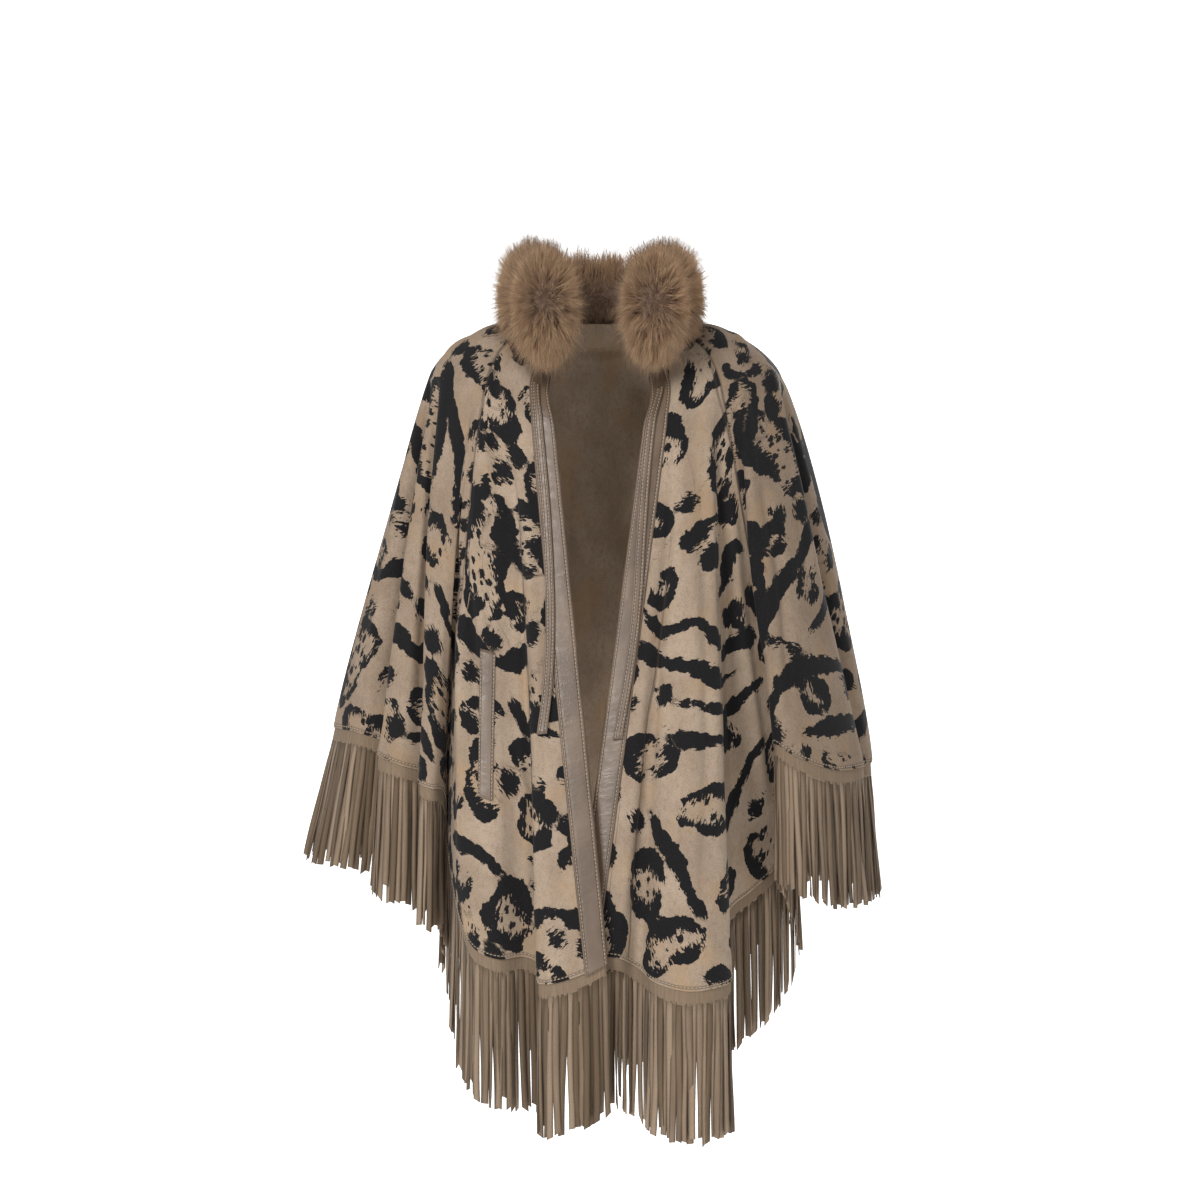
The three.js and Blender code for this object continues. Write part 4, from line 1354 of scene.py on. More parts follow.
@dataclass
class Strap:
    """A leather strap that lies on the front beside one edge.

    inward gives how far its middle is from the edge, at each of its downs. section is its closed
    outline: distances across from its middle, and heights over the cloth.
    """

    name: str
    node: str
    edge: int
    downs: tuple[float, ...]
    inward: tuple[float, ...]
    section: Array
    stitches: tuple[float, ...]
    top: float
    spacing: float = 3.5
    tail: float = 0.0
    unsewn: float = 9.0  # how far from the sewing its underside is marked

    def rows(self) -> tuple[Array, Array]:
        """Evenly spaced downs, and the middle line's distance from the edge at each."""
        fine = np.linspace(0, len(self.downs) - 1, 400)
        down, inward = curve_through(fine, np.array([self.downs, self.inward], float).T).T
        line = DRAPE.surface(columns_from(self.edge, inward[:, None], down)[:, 0], down)
        reach = run_along(line)
        even = np.linspace(0, reach[-1], int(reach[-1] / self.spacing) + 1)
        at = np.interp(even, reach, fine)
        return np.interp(at, fine, down), np.interp(at, fine, inward)

    def laid(self, offsets: Array, heights: Array) -> tuple[Array, Array, Array]:
        """Points beside the middle line, on the cloth or past its edge.

        Args:
            offsets: distances across from the middle line.
            heights: heights over the cloth.

        Returns:
            Points, unit vectors out of the cloth, and the rows' distances down the strap.
        """
        downs, inward = self.rows()
        inner = inward[:, None] + offsets[None, :]
        columns = columns_from(self.edge, np.maximum(inner, 0), downs)
        along, out = DRAPE.frame(columns, downs[:, None])
        past = np.minimum(inner, 0) * (1 if self.edge == 0 else -1)
        points = DRAPE.surface(columns, downs[:, None]) + out * heights[None, :, None]
        points += along * past[..., None]
        run = run_along(points.mean(1))
        if self.tail:
            last = unit(points[-1] - points[-2])
            points = np.concatenate([points, (points[-1] + last * self.tail)[None]])
            out, run = np.concatenate([out, out[-1:]]), np.append(run, run[-1] + self.tail)
        return points, out, run

    def build(self, finish: Material) -> Piece:
        """Makes the strap as a closed tube of its section, which replaces its solid."""
        points, _, run = self.laid(self.section[:, 0], self.section[:, 1])
        below = self.unsewn * (self.section[:, 1] < self.top - 1.2)
        sewn = np.stack([*(self.section[:, 0] - at + below for at in self.stitches), below], axis=-1)
        own = self.edge + len(self.section)
        piece = leather_tube(self.name, points, self.section, run, sewn, own, finish)
        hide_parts(self.node)
        return piece

    def sewing(self) -> list[SewnLine]:
        """The lines that are sewn on it: points and unit vectors out of the leather."""
        offsets = np.array(self.stitches, float)
        points, out, _ = self.laid(offsets, np.full_like(offsets, self.top))
        return [(points[:, k], out[:, k]) for k in range(len(offsets))]


@dataclass(frozen=True)
class Welt:
    """The pocket's welt: a flat folded strip on the wearer's right front, down one column."""

    column: float = 6.5
    downs: tuple[float, float] = (1.45, 1.72)
    length: float = 160.0
    wide: float = 17.0
    thick: float = 1.6
    lift: float = 1.1  # its middle over the cloth
    sewn: float = 6.9  # its sewn lines from its middle
    own: float = 90.0
    stations: int = 46

    def laid(self, offsets: Array) -> tuple[Array, Array]:
        """Points of the cloth beside the middle line, by its own scale there, and unit vectors out."""
        downs = np.linspace(*self.downs, self.stations)
        column = DRAPE.surface(self.column + 1, downs) - DRAPE.surface(self.column, downs)
        columns = self.column + offsets / lengths(column)[:, None]
        return DRAPE.surface(columns, downs[:, None]), DRAPE.frame(columns, downs[:, None])[1]

    def build(self, finish: Material) -> Piece:
        """Makes the welt, which replaces its solid."""
        section = rounded_box(self.wide, self.thick, power=0.22)
        points, out = self.laid(section[:, 0])
        points = points + out * (section[:, 1, None] + self.lift)
        across = section[:, 0]
        sewn = np.stack([across - self.sewn, across + self.sewn, 0 * across], axis=-1)
        run = np.linspace(0, self.length, self.stations)
        piece = leather_tube("leather_welt", points, section, run, sewn, self.own, finish)
        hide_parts("pocket_welt")
        return piece

    def sewing(self) -> list[SewnLine]:
        """The lines that are sewn on it: points and unit vectors out of the leather."""
        points, out = self.laid(np.array([-self.sewn, self.sewn]))
        points = points + out * (self.lift + self.thick / 2 + 0.05)
        return [(points[:, k], out[:, k]) for k in range(2)]


@dataclass(frozen=True)
class Stitches:
    """Lock stitches: short rounded lengths of thread in a row, each sunk a little at its ends."""

    long: float = 3.1
    pitch: float = 4.1
    thick: float = 0.9

    def template(self) -> tuple[Array, Array]:
        """One stitch along x: rings of five points whose radius and height follow half a sine."""
        share = np.linspace(0.06, 0.94, 4)
        turn = np.arange(5) / 5 * 2 * np.pi
        radius = self.thick / 2 * np.sqrt(np.sin(np.pi * share))[:, None]
        x = (share[:, None] - 0.5) * self.long + np.zeros(5)
        lift = (np.sin(np.pi * share) - 0.75)[:, None] * self.thick * 0.4
        points = np.stack([x, radius * np.cos(turn), radius * np.sin(turn) + lift], axis=-1).reshape(-1, 3)
        return points, grid_quads(4, 5, closed=True)

    def build(self, name: str, lines: list[SewnLine], finish: Material, slot: str) -> Piece:
        """Sews along lines: a stitch for each pitch, turned to the line and stood on the surface.

        Args:
            name: the piece's name.
            lines: points along each line, and unit vectors out of the surface there.
            finish: thread.
            slot: the material slot, which is not used.

        Returns:
            All the stitches as one piece.
        """
        one, quads = self.template()
        places, frames = [], []
        for points, out in lines:
            reach = run_along(points)
            at = np.arange(self.pitch, reach[-1] - self.pitch / 2, self.pitch)
            way = unit(read_off(at + 1, reach, points) - read_off(at - 1, reach, points))
            side = unit(np.cross(read_off(at, reach, out), way))
            frames.append(np.stack([way, side, np.cross(way, side)], axis=1))
            places.append(read_off(at, reach, points))
        place, turned = np.concatenate(places), np.concatenate(frames)
        points = place[:, None] + np.einsum("pk,nkx->npx", one, turned)
        ends = np.array([np.arange(5)[::-1], np.arange(len(one) - 5, len(one))])
        faces = [evenly(len(place), shape, len(one)) for shape in (quads, ends)]
        return make_piece(name, points.reshape(-1, 3), faces, finish)


# ---- fur collar
FUR_LEFT = (  # x, y, z, wide, tall: sections from the rounded front end to the nape
    (58, -144, 30, 4, 7), (58, -139, 30, 20, 38), (58, -130, 31, 34, 60), (58, -112, 32, 41, 70),
    (60, -88, 35, 42, 72), (64, -66, 40, 38, 71), (76, -43, 46, 40, 70), (82, -20, 50, 38, 68),
    (85, 2, 53, 34, 66), (82, 26, 56, 32, 65), (72, 50, 57, 31, 65), (54, 71, 58, 31, 64),
    (29, 84, 58, 31, 64),
)
FUR_NAPE = (0, 88, 58, 31, 64)
FUR_DENSITY = ((0, 1, 2, 4, 7, 13), (0.5, 0.6, 0.9, 1.15, 1.15, 1.1))  # by sections from an end


@dataclass
class FurCollar:
    """The collar: a hidden hide with hairs that stand out to the collar's own form.

    Places on it are a section from 0, the right front end, to 26, the left one, and a turn round the
    section from its foot.
    """

    hairs: int = 28300
    tuft_hairs: int = 14
    pole: float = 4.0  # sections nearer a front end than this fan out from one point
    last: int = 26
    hide_share: float = 0.6  # how far out the hide lies
    skin: float = 0.42  # how far out the hairs are rooted, where they are not at their longest
    longest: float = 36.0
    hair: float = 0.5  # a hair's width; real hairs are finer, but far more
    hide_clear: float = 4.0  # how far hide and hairs keep from the cloth
    hair_clear: float = 1.2
    tuft: tuple[float, float] = (0.13, 0.09)  # sections and turns over which a tuft's roots lie
    stray: float = 0.13
    guards: float = 0.2
    guard_long: tuple[float, float] = (1.06, 1.62)
    under_long: tuple[float, float] = (0.66, 1.0)
    draw: tuple[float, float] = (0.3, 0.68)  # how far guard hairs and others draw to the tuft's tip
    droop: tuple[float, float, float] = (0.0, -0.1, -0.22)
    curl: float = 0.07
    tuft_tones: tuple[float, float] = (0.3, 0.24)
    own_tone: float = 0.2
    seed: int = 7

    def __post_init__(self) -> None:
        """Mirrors the sections to the wearer's right."""
        left = np.array(FUR_LEFT, float)
        right = left * [-1, 1, 1, 1, 1]
        self.rows = np.concatenate([right, np.array([FUR_NAPE], float), left[::-1]])

    def form(self, section: Array, turn: Array) -> tuple[Array, Array]:
        """Points of the fur's outer form, and the inner points that its hairs fan out from.

        An ellipse stands across the collar's line at each section. Beyond the last sections hairs
        fan out from one point on that line, as in a whorl.
        """
        values = curve_through(section, self.rows)
        centre, wide, tall = values[..., :3], values[..., 3], values[..., 4]
        step = 0.05
        after, before = (curve_through(np.clip(section + way, 0, self.last), self.rows)
                         for way in (step, -step))
        ahead = after - before
        away = unit(np.stack([-ahead[..., 1], ahead[..., 0], 0 * wide], axis=-1))
        outer = centre + away * (wide * np.sin(turn))[..., None]
        outer[..., 2] -= tall * np.cos(turn)
        held = np.clip(section, self.pole, self.last - self.pole)
        return outer, curve_through(held, self.rows)[..., :3]

    def hide(self, finish: Material) -> Piece:
        """The hide under the hair: the form drawn in towards the hubs, closed at both ends."""
        sections, turns = np.linspace(0, self.last, 105), np.arange(36) / 36 * 2 * np.pi
        outer, hub = self.form(sections[:, None] + 0 * turns, turns + 0 * sections[:, None])
        points = self.above_cloth(mix(hub, outer, self.hide_share), self.hide_clear)
        wide, tall = points.shape[:2]
        tube = grid_quads(wide, tall, closed=True)
        nose = points[[0, -1]].mean(1)
        ring = np.arange(tall)
        caps = np.stack([np.full(tall, wide * tall), (ring + 1) % tall, ring], axis=-1)
        tail = np.stack([np.full(tall, wide * tall + 1), ring, (ring + 1) % tall], axis=-1)
        tail[:, 1:] += (wide - 1) * tall
        points = np.concatenate([points.reshape(-1, 3), nose])
        hair = np.tile([0.12, 0.0, 0.0], (len(points), 1))
        piece = make_piece("fur_hide", points, [tube, np.concatenate([caps, tail])], finish,
                           {"hair": hair})
        outward(piece)
        return piece

    def above_cloth(self, points: Array, clear: float) -> Array:
        """Points lifted to stay clear of the cloth under them.

        The cloth's height at a place is read from a table of the draped surface: for each level, the
        column that lies at the place's own turn round the neck, and then between the two levels that
        the place's distance from the middle falls between.
        """
        levels = np.linspace(0, 1.3, 27)
        columns = np.linspace(0, DRAPE.last, 800)
        table = DRAPE.surface(columns[None, :], levels[:, None])
        turns = np.degrees(np.arctan2(-table[..., 0], -table[..., 1])) % 360
        flat = points.reshape(-1, 3)
        turn = np.degrees(np.arctan2(-flat[:, 0], -flat[:, 1])) % 360
        radius = np.hypot(flat[:, 0], flat[:, 1])
        far = np.hypot(table[..., 0], table[..., 1])
        reach, height = (np.stack([np.interp(turn, t, row) for t, row in zip(turns, rows)])
                         for rows in (far, table[..., 2]))
        i = np.clip((reach < radius).sum(0) - 1, 0, len(levels) - 2)
        pick = np.arange(len(flat))
        near, far = reach[i, pick], reach[i + 1, pick]
        share = np.clip((radius - near) / np.maximum(far - near, 1e-6), 0, 1)
        under = mix(height[i, pick], height[i + 1, pick], share) + clear
        covered = (radius > reach[0] - 3) & (turn > turns[0, 0] - 4) & (turn < turns[0, -1] + 4)
        lifted = flat.copy()
        lifted[:, 2] = np.where(covered, np.maximum(flat[:, 2], under), flat[:, 2])
        return lifted.reshape(points.shape)

    def lock(self, first: float, last: float, rng: Rng) -> tuple[Array, Array, Array]:
        """Hairs between two sections, in tufts whose tips draw together.

        A hair runs from its root to its tip with a bend that grows with the square of the distance.
        Its width falls to a point.

        Args:
            first: section where they start.
            last: section where they end.
            rng: where their unevenness comes from.

        Returns:
            Points, faces of four corners and of three, and what the finish reads of each hair.
        """
        tufts = self.hairs // self.tuft_hairs
        # more roots where the form is wide
        trial = rng.uniform(first, last, tufts * 3)
        girth = curve_through(trial, self.rows)[:, 3:].sum(-1)
        end = np.minimum(trial, self.last - trial)
        weight = girth * np.interp(end, *FUR_DENSITY)
        keep = np.argsort(rng.random(len(trial)) / weight)[:tufts]
        section = np.repeat(trial[keep], self.tuft_hairs)
        turn = np.repeat(rng.uniform(0, 2 * np.pi, tufts), self.tuft_hairs)
        count = len(section)
        section = np.clip(section + rng.normal(0, self.tuft[0], count), 0.0, self.last)
        turn = turn + rng.normal(0, self.tuft[1], count)
        outer, hub = self.form(section, turn)
        reach = outer - hub
        size = lengths(reach)[:, None]
        way = reach / size
        long = np.minimum(size * (1 - self.skin), self.longest) + 4
        guard = rng.random(count) < self.guards
        length = long * np.where(guard[:, None], rng.uniform(*self.guard_long, (count, 1)),
                                 rng.uniform(*self.under_long, (count, 1)))
        root = outer - way * long
        droop = np.array(self.droop)
        own = unit(way + rng.normal(0, self.stray, (count, 3)))
        tip = (root + own * length + droop * length * 0.55).reshape(-1, self.tuft_hairs, 3)
        pull = np.where(guard, *self.draw).reshape(-1, self.tuft_hairs, 1)
        end = tip.mean(1, keepdims=True) + unit(way.reshape(tip.shape)) * 1.5
        drawn = mix(tip, end, pull).reshape(-1, 3)
        share = np.array([0.0, 0.38, 0.74, 1.0])
        line = root[:, None] + (drawn - root)[:, None] * share[None, :, None]
        curl = rng.normal(0, 1.0, (count, 3))
        curl -= (curl * own).sum(-1, keepdims=True) * own
        line += (curl * length * self.curl)[:, None] * (4 * share * (1 - share))[None, :, None]
        line -= (droop * length * 0.5)[:, None] * (share * (1 - share) * 1.3)[None, :, None]
        line = self.above_cloth(line, self.hair_clear)
        width = unit(np.cross(own, rng.normal(0, 1, (count, 3)))) * self.hair / 2
        width = width * np.where(guard, 0.9, 1.0)[:, None]
        taper = np.array([1.0, 0.95, 0.62])[None, :, None]
        wide = width[:, None] * taper
        points = np.concatenate([line[:, :3] - wide, line[:, :3] + wide, line[:, 3:]], axis=1)
        blade = np.array([[0, 1, 4, 3], [1, 2, 5, 4]]), np.array([[2, 6, 5]])
        faces = [evenly(count, one, points.shape[1]) for one in blade]
        along = np.tile(share[[0, 1, 2, 0, 1, 2, 3]], count)
        tuft_tone = np.repeat(rng.normal(*self.tuft_tones, tufts), self.tuft_hairs)
        tone = np.clip(tuft_tone + rng.normal(0, self.own_tone, count), 0, 1)
        own_values = np.repeat(np.stack([tone, guard], axis=-1), points.shape[1], axis=0)
        return points.reshape(-1, 3), faces, np.concatenate([along[:, None], own_values], axis=1)

    def build(self, finish: Material) -> list[Piece]:
        """Makes the hide and three locks of hair, which together replace the solid collar."""
        rng = np.random.default_rng(self.seed)
        hide = self.hide(finish)
        pieces = [hide]
        for name, first, last in (("right", 0.0, 8.7), ("nape", 8.7, 17.3), ("left", 17.3, 26.0)):
            points, faces, hair = self.lock(first, last, rng)
            pieces.append(make_piece(f"fur_{name}", points, faces, finish, {"hair": hair}))
        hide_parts("fur_collar")
        return pieces


# ---- studio
LAMPS = (  # name, place and aim in metres, width in metres, watts
    ("key", (-1.35, -2.8, 1.2), (0, 0, -0.35), 0.9, 76),
    ("fill", (0.9, -3.3, 0.0), (0, 0, -0.35), 1.2, 12),
    ("top", (0.0, 0.2, 2.4), (0, 0, -0.3), 1.6, 22),
    ("back", (2.1, 2.7, 1.2), (0, 0, -0.35), 1.1, 66),
)


@dataclass(frozen=True)
class Studio:
    """A pale floor that curves up into a wall, soft light, and the camera.

    The backdrop is painted board: matt, with hardly seen specks.
    """

    floor_z: float = -1380
    front_y: float = -9000
    wall_y: float = 7000
    top_z: float = 6000
    bend: float = 700
    half_wide: float = 6000
    camera_distance: float = 3000
    camera_z: float = -286
    half_view: float = 672
    tone: str = "#F4F4F4"
    shade: str = "#F0F0F0"
    speck_mm: float = 100 / 9
    glow: float = 0.85  # the backdrop glows evenly of itself, as though lit by lamps of its own
    world_glow: float = 0.2

    def backdrop(self) -> None:
        """A sheet whose section is the floor, a quarter circle and the wall."""
        arc = np.linspace(0, np.pi / 2, 24)
        y = np.array([self.front_y, *(self.wall_y - self.bend + self.bend * np.sin(arc)), self.wall_y])
        z = np.array([self.floor_z, *(self.floor_z + self.bend * (1 - np.cos(arc))), self.top_z])
        outline = np.stack([0 * y, y, z], axis=-1)
        points = np.concatenate([outline - [self.half_wide, 0, 0], outline + [self.half_wide, 0, 0]])
        material, tree = new_material("pale_backdrop")
        place = add_node(tree, "TexCoord")["Object"]
        speck = add_node(tree, "TexNoise", {"Vector": place, "Scale": 1 / (self.speck_mm * MM)})[0]
        base = add_node(tree, "Mix", {0: speck, 6: colour(self.shade), 7: colour(self.tone)}, **RGBA)[2]
        finish_surface(tree, base, 0.9, speck, 0.05, sheen=0.0, specular=0.1, glow=self.glow)
        mesh = bpy.data.meshes.new("backdrop")
        mesh.from_pydata((points * MM).tolist(), [], grid_quads(2, len(y)).tolist())
        mesh.polygons.foreach_set("use_smooth", np.ones(len(mesh.polygons), bool))
        mesh.materials.append(material)
        sheet = bpy.data.objects.new("backdrop", mesh)
        bpy.context.scene.collection.objects.link(sheet)

    @staticmethod
    def lamp(name: str, place: tuple[float, float, float], aim: tuple[float, float, float], size: float,
             watts: float) -> None:
        """A square soft box in metres, turned to a point."""
        light = bpy.data.lights.new(name, "AREA")
        light.size, light.energy = size, watts
        lamp = bpy.data.objects.new(name, light)
        lamp.location = place
        lamp.rotation_euler = (Vector(aim) - Vector(place)).to_track_quat("-Z", "Y").to_euler()
        bpy.context.scene.collection.objects.link(lamp)

    def build(self) -> None:
        """Makes the backdrop, the lights, the world and the camera."""
        self.backdrop()
        for name, place, aim, size, watts in LAMPS:
            self.lamp(name, place, aim, size, watts)
        world = bpy.data.worlds.new("studio")
        world.use_nodes = True
        world.node_tree.nodes["Background"].inputs["Color"].default_value = (1, 1, 1, 1)
        world.node_tree.nodes["Background"].inputs["Strength"].default_value = self.world_glow
        scene = bpy.context.scene
        scene.world = world
        scene.view_settings.view_transform = "Standard"
        lens = bpy.data.cameras.new("camera")
        lens.sensor_fit = "HORIZONTAL"
        lens.angle = 2 * np.arctan(self.half_view / self.camera_distance)
        camera = bpy.data.objects.new("camera", lens)
        camera.location = (0, -self.camera_distance * MM, self.camera_z * MM)
        camera.rotation_euler = (np.pi / 2, 0, 0)
        scene.collection.objects.link(camera)
        scene.camera = camera


# ---- the cape
# The ties' ways: downs, and how far in from the edge each tie's middle lies there.
TIE_RIGHT = ((0.5, 0.75, 1, 1.16, 1.3, 1.4, 1.49, 1.57), (17, 17, 17, 17.5, 21, 26, 34, 44))
TIE_LEFT = ((0.5, 0.75, 1, 1.15, 1.33, 1.43, 1.52, 1.6), (12, 8, 6.5, 10, 17.5, 19.5, 18.5, 16.5))

# Soft ridges, and troughs below zero: height and width in millimetres, then column and down of each
# point on the way.
FRONT_RIGHT_CREASES = (
    (7.4, 13, 8.95, 1.38, 8.4, 1.47, 7.95, 1.57, 7.75, 1.72, 7.7, 1.88),
    (-5.6, 8, 8.3, 1.3, 7.4, 1.46, 7.0, 1.62),
    (-4.5, 7, 6.5, 1.02, 6.3, 1.08, 6.1, 1.17),
    (4.9, 11, 4.7, 1.22, 4.9, 1.55, 4.6, 1.92),
    (-5.2, 9, 3.3, 1.12, 3.1, 1.46, 3.4, 1.86),
    (3.9, 8, 1.9, 0.9, 2.2, 1.2, 2.0, 1.56),
    (-3.1, 6, 8.0, 0.62, 7.3, 0.84, 7.1, 1.06),
    (2.8, 7, 5.6, 1.62, 4.2, 1.7, 3.0, 1.67),
)
SIDE_RIGHT_CREASES = (
    (5.5, 11, 9.9, 1.14, 9.6, 1.27, 9.15, 1.37),
    (-7.5, 8, 14.0, 0.98, 14.1, 1.4, 14.3, 1.94),
    (5.0, 10, 12.8, 0.9, 13.0, 1.3, 12.8, 1.74),
    (-7.0, 8, 16.6, 1.0, 16.9, 1.4, 17.0, 1.95),
    (5.0, 9, 15.6, 1.1, 15.8, 1.5, 15.9, 1.9),
    (-5.0, 8, 11.2, 0.9, 11.0, 1.2, 10.4, 1.6),
    (3.6, 9, 18.1, 0.9, 18.3, 1.3, 18.1, 1.8),
    (-3.8, 8, 19.4, 1.2, 19.3, 1.5, 19.6, 1.86),
    (3.5, 10, 20.6, 0.8, 20.9, 1.2, 20.5, 1.6),
    (-3.8, 8, 21.8, 1.3, 22.0, 1.6, 21.6, 1.9),
    (2.6, 6, 18.2, 0.6, 16.6, 0.7, 15.2, 0.82),
)
BACK_CREASES = (
    (8.2, 14, 24.4, 0.7, 24.8, 1.2, 24.5, 1.7), (-10.5, 11, 25.9, 0.9, 26.1, 1.4, 25.8, 1.97),
    (8.2, 13, 27.4, 0.6, 27.2, 1.1, 27.3, 1.7), (-11.0, 11, 29.3, 0.8, 29.0, 1.35, 29.4, 1.97),
    (8.2, 13, 31.0, 0.9, 31.2, 1.5, 30.8, 1.9),
    (-7.0, 9, 24.0, 1.0, 23.8, 1.5, 24.0, 1.9), (3.8, 7, 26.0, 0.42, 27.0, 0.5, 30.2, 0.43),
)
SIDE_LEFT_CREASES = (
    (-6.0, 8, 44.3, 0.98, 43.9, 1.25, 44.1, 1.62),
    (5.6, 11, 43.0, 0.8, 42.8, 1.2, 43.2, 1.74),
    (-5.2, 8, 41.8, 1.25, 41.6, 1.55, 41.9, 1.9),
    (4.2, 11, 40.2, 0.75, 40.0, 1.2, 40.4, 1.6),
    (-6.0, 8, 39.0, 1.02, 39.0, 1.4, 39.1, 1.92),
    (3.9, 10, 36.6, 0.8, 36.9, 1.2, 36.5, 1.7),
    (-4.2, 8, 34.6, 1.1, 34.9, 1.5, 34.6, 1.86),
    (3.0, 6, 38.6, 0.56, 40.2, 0.66, 41.6, 0.8),
)
FRONT_LEFT_CREASES = (
    (6.0, 11, 46.2, 1.2, 46.5, 1.45, 46.2, 1.86),
    (-5.6, 8, 47.6, 1.05, 47.3, 1.4, 47.6, 1.8),
    (4.2, 10, 49.2, 0.9, 49.0, 1.3, 49.4, 1.72),
    (-4.5, 8, 51.2, 1.1, 51.0, 1.5, 51.4, 1.9),
    (4.5, 11, 53.2, 0.8, 53.0, 1.2, 53.4, 1.66),
    (-3.5, 7, 54.6, 1.5, 54.3, 1.7, 54.6, 1.94),
    (3.1, 5, 53.1, 1.7, 52.4, 1.7, 51.8, 1.71),
)
# Inner seams: column and down of each point on the way.
FRONT_RIGHT_SEAMS = ((4.2, 1.285, 2.8, 1.29, 1.0, 1.283),)
FRONT_LEFT_SEAMS = (
    (45.9, 0.6, 46.35, 0.88, 45.6, 1.02, 45.1, 1.09), (53.8, 1.3, 54.2, 1.46, 54.55, 1.63, 54.5, 1.99),
)
BACK_SEAMS = ((28.0, 0.02, 28.0, 1.0, 28.0, 1.99),)
# Long print strokes: half width in millimetres, then column and down of each point on the way. Loops:
# half width, half size across and down, turn in degrees, column and down of the middle.
FRONT_RIGHT_STRIPES = (
    (10.5, 8.8, 1.44, 7.0, 1.45, 5.2, 1.47, 3.4, 1.42),
    (9.5, 5.2, 1.54, 3.9, 1.58, 2.4, 1.55, 1.2, 1.58),
    (8.5, 8.6, 1.88, 7.2, 1.82, 5.8, 1.85),
    (9.0, 3.8, 1.93, 2.4, 1.88, 0.8, 1.92),
    (8.5, 8.6, 0.72, 7.4, 0.8, 6.0, 0.84),
)
FRONT_RIGHT_LOOPS = (
    (9.5, 27, 58, -8, 7.0, 1.28),
    (9.0, 22, 26, 15, 7.1, 0.97),
    (9.0, 24, 30, -20, 2.9, 1.22),
    (9.0, 30, 22, 6, 3.4, 1.73),
)
SIDE_RIGHT_STRIPES = (
    (10.0, 12.9, 0.84, 12.4, 1.0, 11.6, 1.14, 11.4, 1.32),
    (8.5, 19.8, 1.1, 18.4, 1.15, 17.0, 1.24, 15.9, 1.38),
    (9.0, 19.9, 1.5, 18.4, 1.56, 16.8, 1.52, 15.2, 1.58),
    (9.5, 17.0, 1.75, 15.8, 1.68, 14.4, 1.71, 13.2, 1.64),
    (8.5, 12.4, 1.5, 11.2, 1.58, 10.0, 1.56, 9.2, 1.61),
    (8.5, 14.8, 1.93, 13.2, 1.88, 11.9, 1.93),
    (8.0, 18.8, 0.78, 17.4, 0.88, 16.0, 0.95),
    (8.5, 22.4, 1.2, 21.4, 1.34, 20.8, 1.55),
)
SIDE_RIGHT_LOOPS = (
    (9.0, 24, 56, 8, 14.3, 1.14),
    (9.5, 28, 40, -25, 18.7, 1.8),
    (9.0, 22, 34, 10, 11.3, 1.8),
    (8.5, 24, 46, 30, 21.6, 1.78),
)
BACK_STRIPES = (
    (8.5, 24.2, 1.1, 25.4, 1.2, 26.4, 1.36), (8.0, 31.6, 1.05, 30.6, 1.22, 29.4, 1.32),
    (8.5, 27.0, 1.6, 28.2, 1.66, 29.4, 1.62), (8.0, 24.4, 1.72, 25.6, 1.66, 26.6, 1.76),
    (8.0, 30.4, 1.78, 31.4, 1.66, 32.6, 1.64), (7.5, 27.4, 0.6, 28.2, 0.8, 27.8, 0.98),
)
BACK_LOOPS = (
    (8.0, 26, 46, 14, 27.8, 1.3), (8.0, 25, 42, -22, 24.6, 1.45), (8.0, 26, 44, 30, 31.6, 1.4),
    (7.5, 24, 40, 5, 28.6, 1.86),
)
SIDE_LEFT_STRIPES = (
    (11.0, 44.4, 1.8, 42.6, 1.64, 41.0, 1.46, 39.6, 1.36),
    (10.0, 43.6, 1.93, 41.8, 1.78, 40.0, 1.74, 38.2, 1.8),
    (9.5, 44.2, 1.3, 42.8, 1.42, 42.7, 1.56, 44.2, 1.64),
    (9.0, 40.9, 1.64, 39.8, 1.56, 38.8, 1.52),
    (8.0, 38.2, 1.1, 37.4, 1.26, 37.0, 1.44),
    (7.0, 43.6, 0.72, 42.2, 0.84, 40.6, 0.86),
    (8.0, 36.2, 1.5, 35.2, 1.62, 34.4, 1.8),
    (9.5, 38.6, 0.72, 38.3, 0.84, 37.4, 0.98),
    (9.0, 41.6, 1.93, 40.2, 1.88, 38.8, 1.91, 37.2, 1.87),
)
SIDE_LEFT_LOOPS = (
    (11.0, 27, 60, 22, 40.9, 1.16),
    (9.0, 22, 34, -30, 43.4, 1.04),
    (8.0, 24, 44, 12, 36.2, 1.2),
)
FRONT_LEFT_STRIPES = (
    (7.2, 55.8, 1.36, 53.8, 1.39, 51.6, 1.37, 49.6, 1.42, 48.0, 1.4),
    (9.6, 55.8, 1.42, 54.0, 1.45, 51.6, 1.45, 49.4, 1.49, 47.0, 1.49, 45.6, 1.52),
    (6.4, 52.6, 1.51, 51.0, 1.52, 49.0, 1.55, 47.2, 1.54),
    (8.2, 53.0, 1.57, 50.8, 1.58, 48.8, 1.62, 46.8, 1.6, 45.6, 1.62),
    (8.2, 49.4, 1.34, 47.8, 1.36, 46.6, 1.3, 45.6, 1.32),
    (9.0, 53.8, 1.72, 52.4, 1.79, 51.4, 1.88),
    (8.0, 46.0, 1.72, 47.4, 1.78, 48.6, 1.88),
)
FRONT_LEFT_LOOPS = (
    (8.5, 30, 20, 8, 53.9, 1.62),
    (8.0, 22, 38, -14, 47.0, 1.1),
    (8.5, 30, 22, 20, 52.6, 1.93),
)


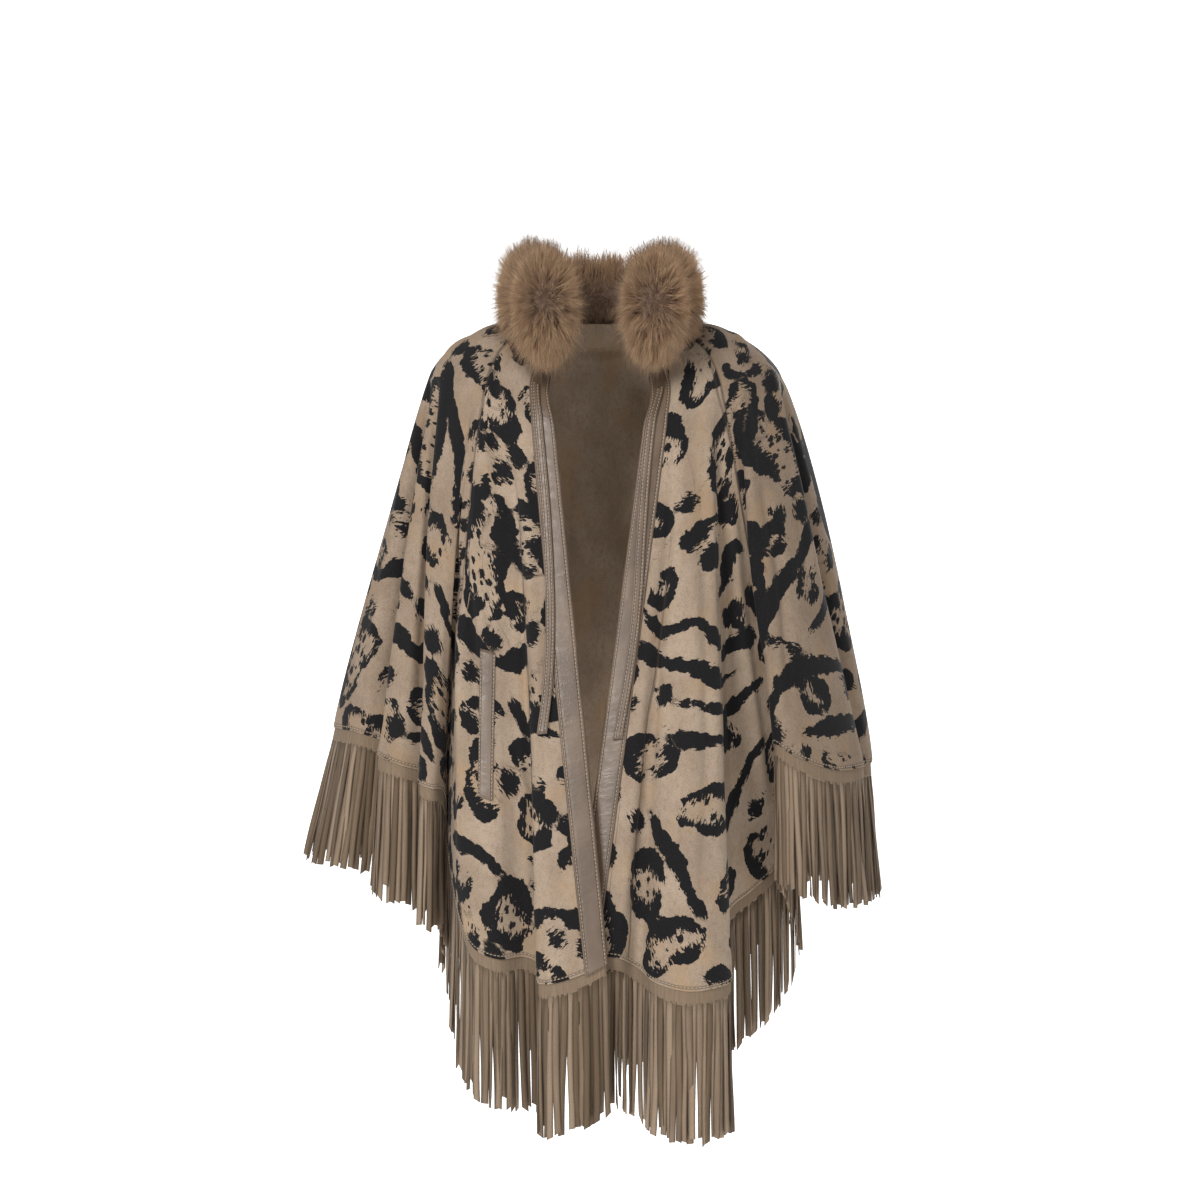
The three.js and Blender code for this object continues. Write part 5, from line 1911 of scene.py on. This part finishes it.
def band_section(wide: float) -> Array:
    """A folded band: over the front edge, with a short turn-in behind.

    Args:
        wide: how far it comes in on the outside.

    Returns:
        Distances in from the edge, and heights, round the section.
    """
    return np.array([
        (wide, 0.3), (wide + 0.35, 0.8), (wide, 1.35), (wide - 0.8, 1.65), (wide * 0.7, 1.8),
        (wide * 0.35, 1.8), (2.0, 1.75), (0.2, 1.5), (-1.1, 0.7), (-1.5, -0.6), (-1.1, -1.9), (0.2, -2.6),
        (2.0, -2.7), (7.2, -2.6), (8.0, -2.2), (7.6, -1.7), (4.0, -1.5), (-0.1, -1.5), (-0.35, -0.6),
        (-0.1, 0.25), (4.0, 0.3), (wide * 0.6, 0.3)])


@dataclass
class Cape:
    """The whole cape, built in order from its pieces."""

    panels: tuple[SuedePanel, ...] = (
        # skin is painted shade: the side panels, which turn from the light, are painted darkest
        SuedePanel("front_right", 0, 9, airy=0.8, seed=1, creases=FRONT_RIGHT_CREASES,
                   seams=FRONT_RIGHT_SEAMS, stripes=FRONT_RIGHT_STRIPES, loops=FRONT_RIGHT_LOOPS),
        SuedePanel("side_right", 9, 23, skin=0.2, seed=2, creases=SIDE_RIGHT_CREASES,
                   stripes=SIDE_RIGHT_STRIPES, loops=SIDE_RIGHT_LOOPS),
        SuedePanel("back", 23, 33, skin=0.05, seed=3, creases=BACK_CREASES, seams=BACK_SEAMS,
                   stripes=BACK_STRIPES, loops=BACK_LOOPS),
        SuedePanel("side_left", 33, 45, skin=0.36, airy=0.72, seed=4, creases=SIDE_LEFT_CREASES,
                   stripes=SIDE_LEFT_STRIPES, loops=SIDE_LEFT_LOOPS),
        SuedePanel("front_left", 45, 57, airy=1.15, seed=5, creases=FRONT_LEFT_CREASES,
                   seams=FRONT_LEFT_SEAMS, stripes=FRONT_LEFT_STRIPES, loops=FRONT_LEFT_LOOPS),
    )
    front_fringe: float = 156
    arm_fringe: float = 148

    def straps(self) -> list[Strap]:
        """The two bands and the two ties."""
        downs = tuple(np.linspace(0.25, 2.0, 15))
        bands = [Strap(f"leather_band_{side}", f"front_band_{side}", edge, downs, (0.0,) * len(downs),
                       band_section(25.5), stitches=(22.8, 1.9), top=1.8, tail=2.5)
                 for side, edge in (("right", 0), ("left", DRAPE.last))]
        tie = rounded_box(10, 2.2) + [0, 3.9]
        ties = [Strap(f"leather_tie_{side}", f"tie_{side}", edge, downs, inward, tie, stitches=(-2.6, 2.6),
                      top=5.0, spacing=3.0)
                for side, edge, downs, inward in (("right", 0, *TIE_RIGHT),
                                                  ("left", DRAPE.last, *TIE_LEFT))]
        return bands + ties

    def build(self) -> None:
        suede, cut, leather = PrintedSuede().build(), FringeSuede().build(), BandLeather().build()
        thread, fur = Thread().build(), Fur().build()
        fur_pieces = FurCollar().build(fur)
        going: dict[str, list[Piece]] = {panel.name: [] for panel in self.panels}
        for number, panel in enumerate(self.panels):
            length = self.arm_fringe if panel.name.startswith("side") else self.front_fringe
            fringe = HemFringe(f"fringe_{panel.name}", panel.start, panel.end, length, 20 + number)
            going[panel.name].append(fringe.build(cut))
        sewn: list[SewnLine] = []
        for strap in self.straps():
            side = "front_right" if strap.edge == 0 else "front_left"
            going[side].append(strap.build(leather))
            sewn += strap.sewing()
        going["front_right"].append(Welt().build(leather))
        sewn += Welt().sewing()
        Stitches().build("stitches_leather", sewn, thread, "band_leather")
        hems = [panel.hem_line() for panel in self.panels]
        Stitches().build("stitches_hem", hems, thread, "printed_suede")
        for panel in self.panels:
            piece = panel.build(suede)
            width, length, area = panel.cut()
            LOG.info("%s is cut %.3f x %.3f m, %.4f square metres", panel.name, width, length, area)


def main() -> None:
    """Loads the frame, sets the studio and dresses the cape."""
    logging.basicConfig(level=logging.INFO, format="%(name)s %(message)s")
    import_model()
    Studio().build()
    Cape().build()


if __name__ == "__main__":
    main()
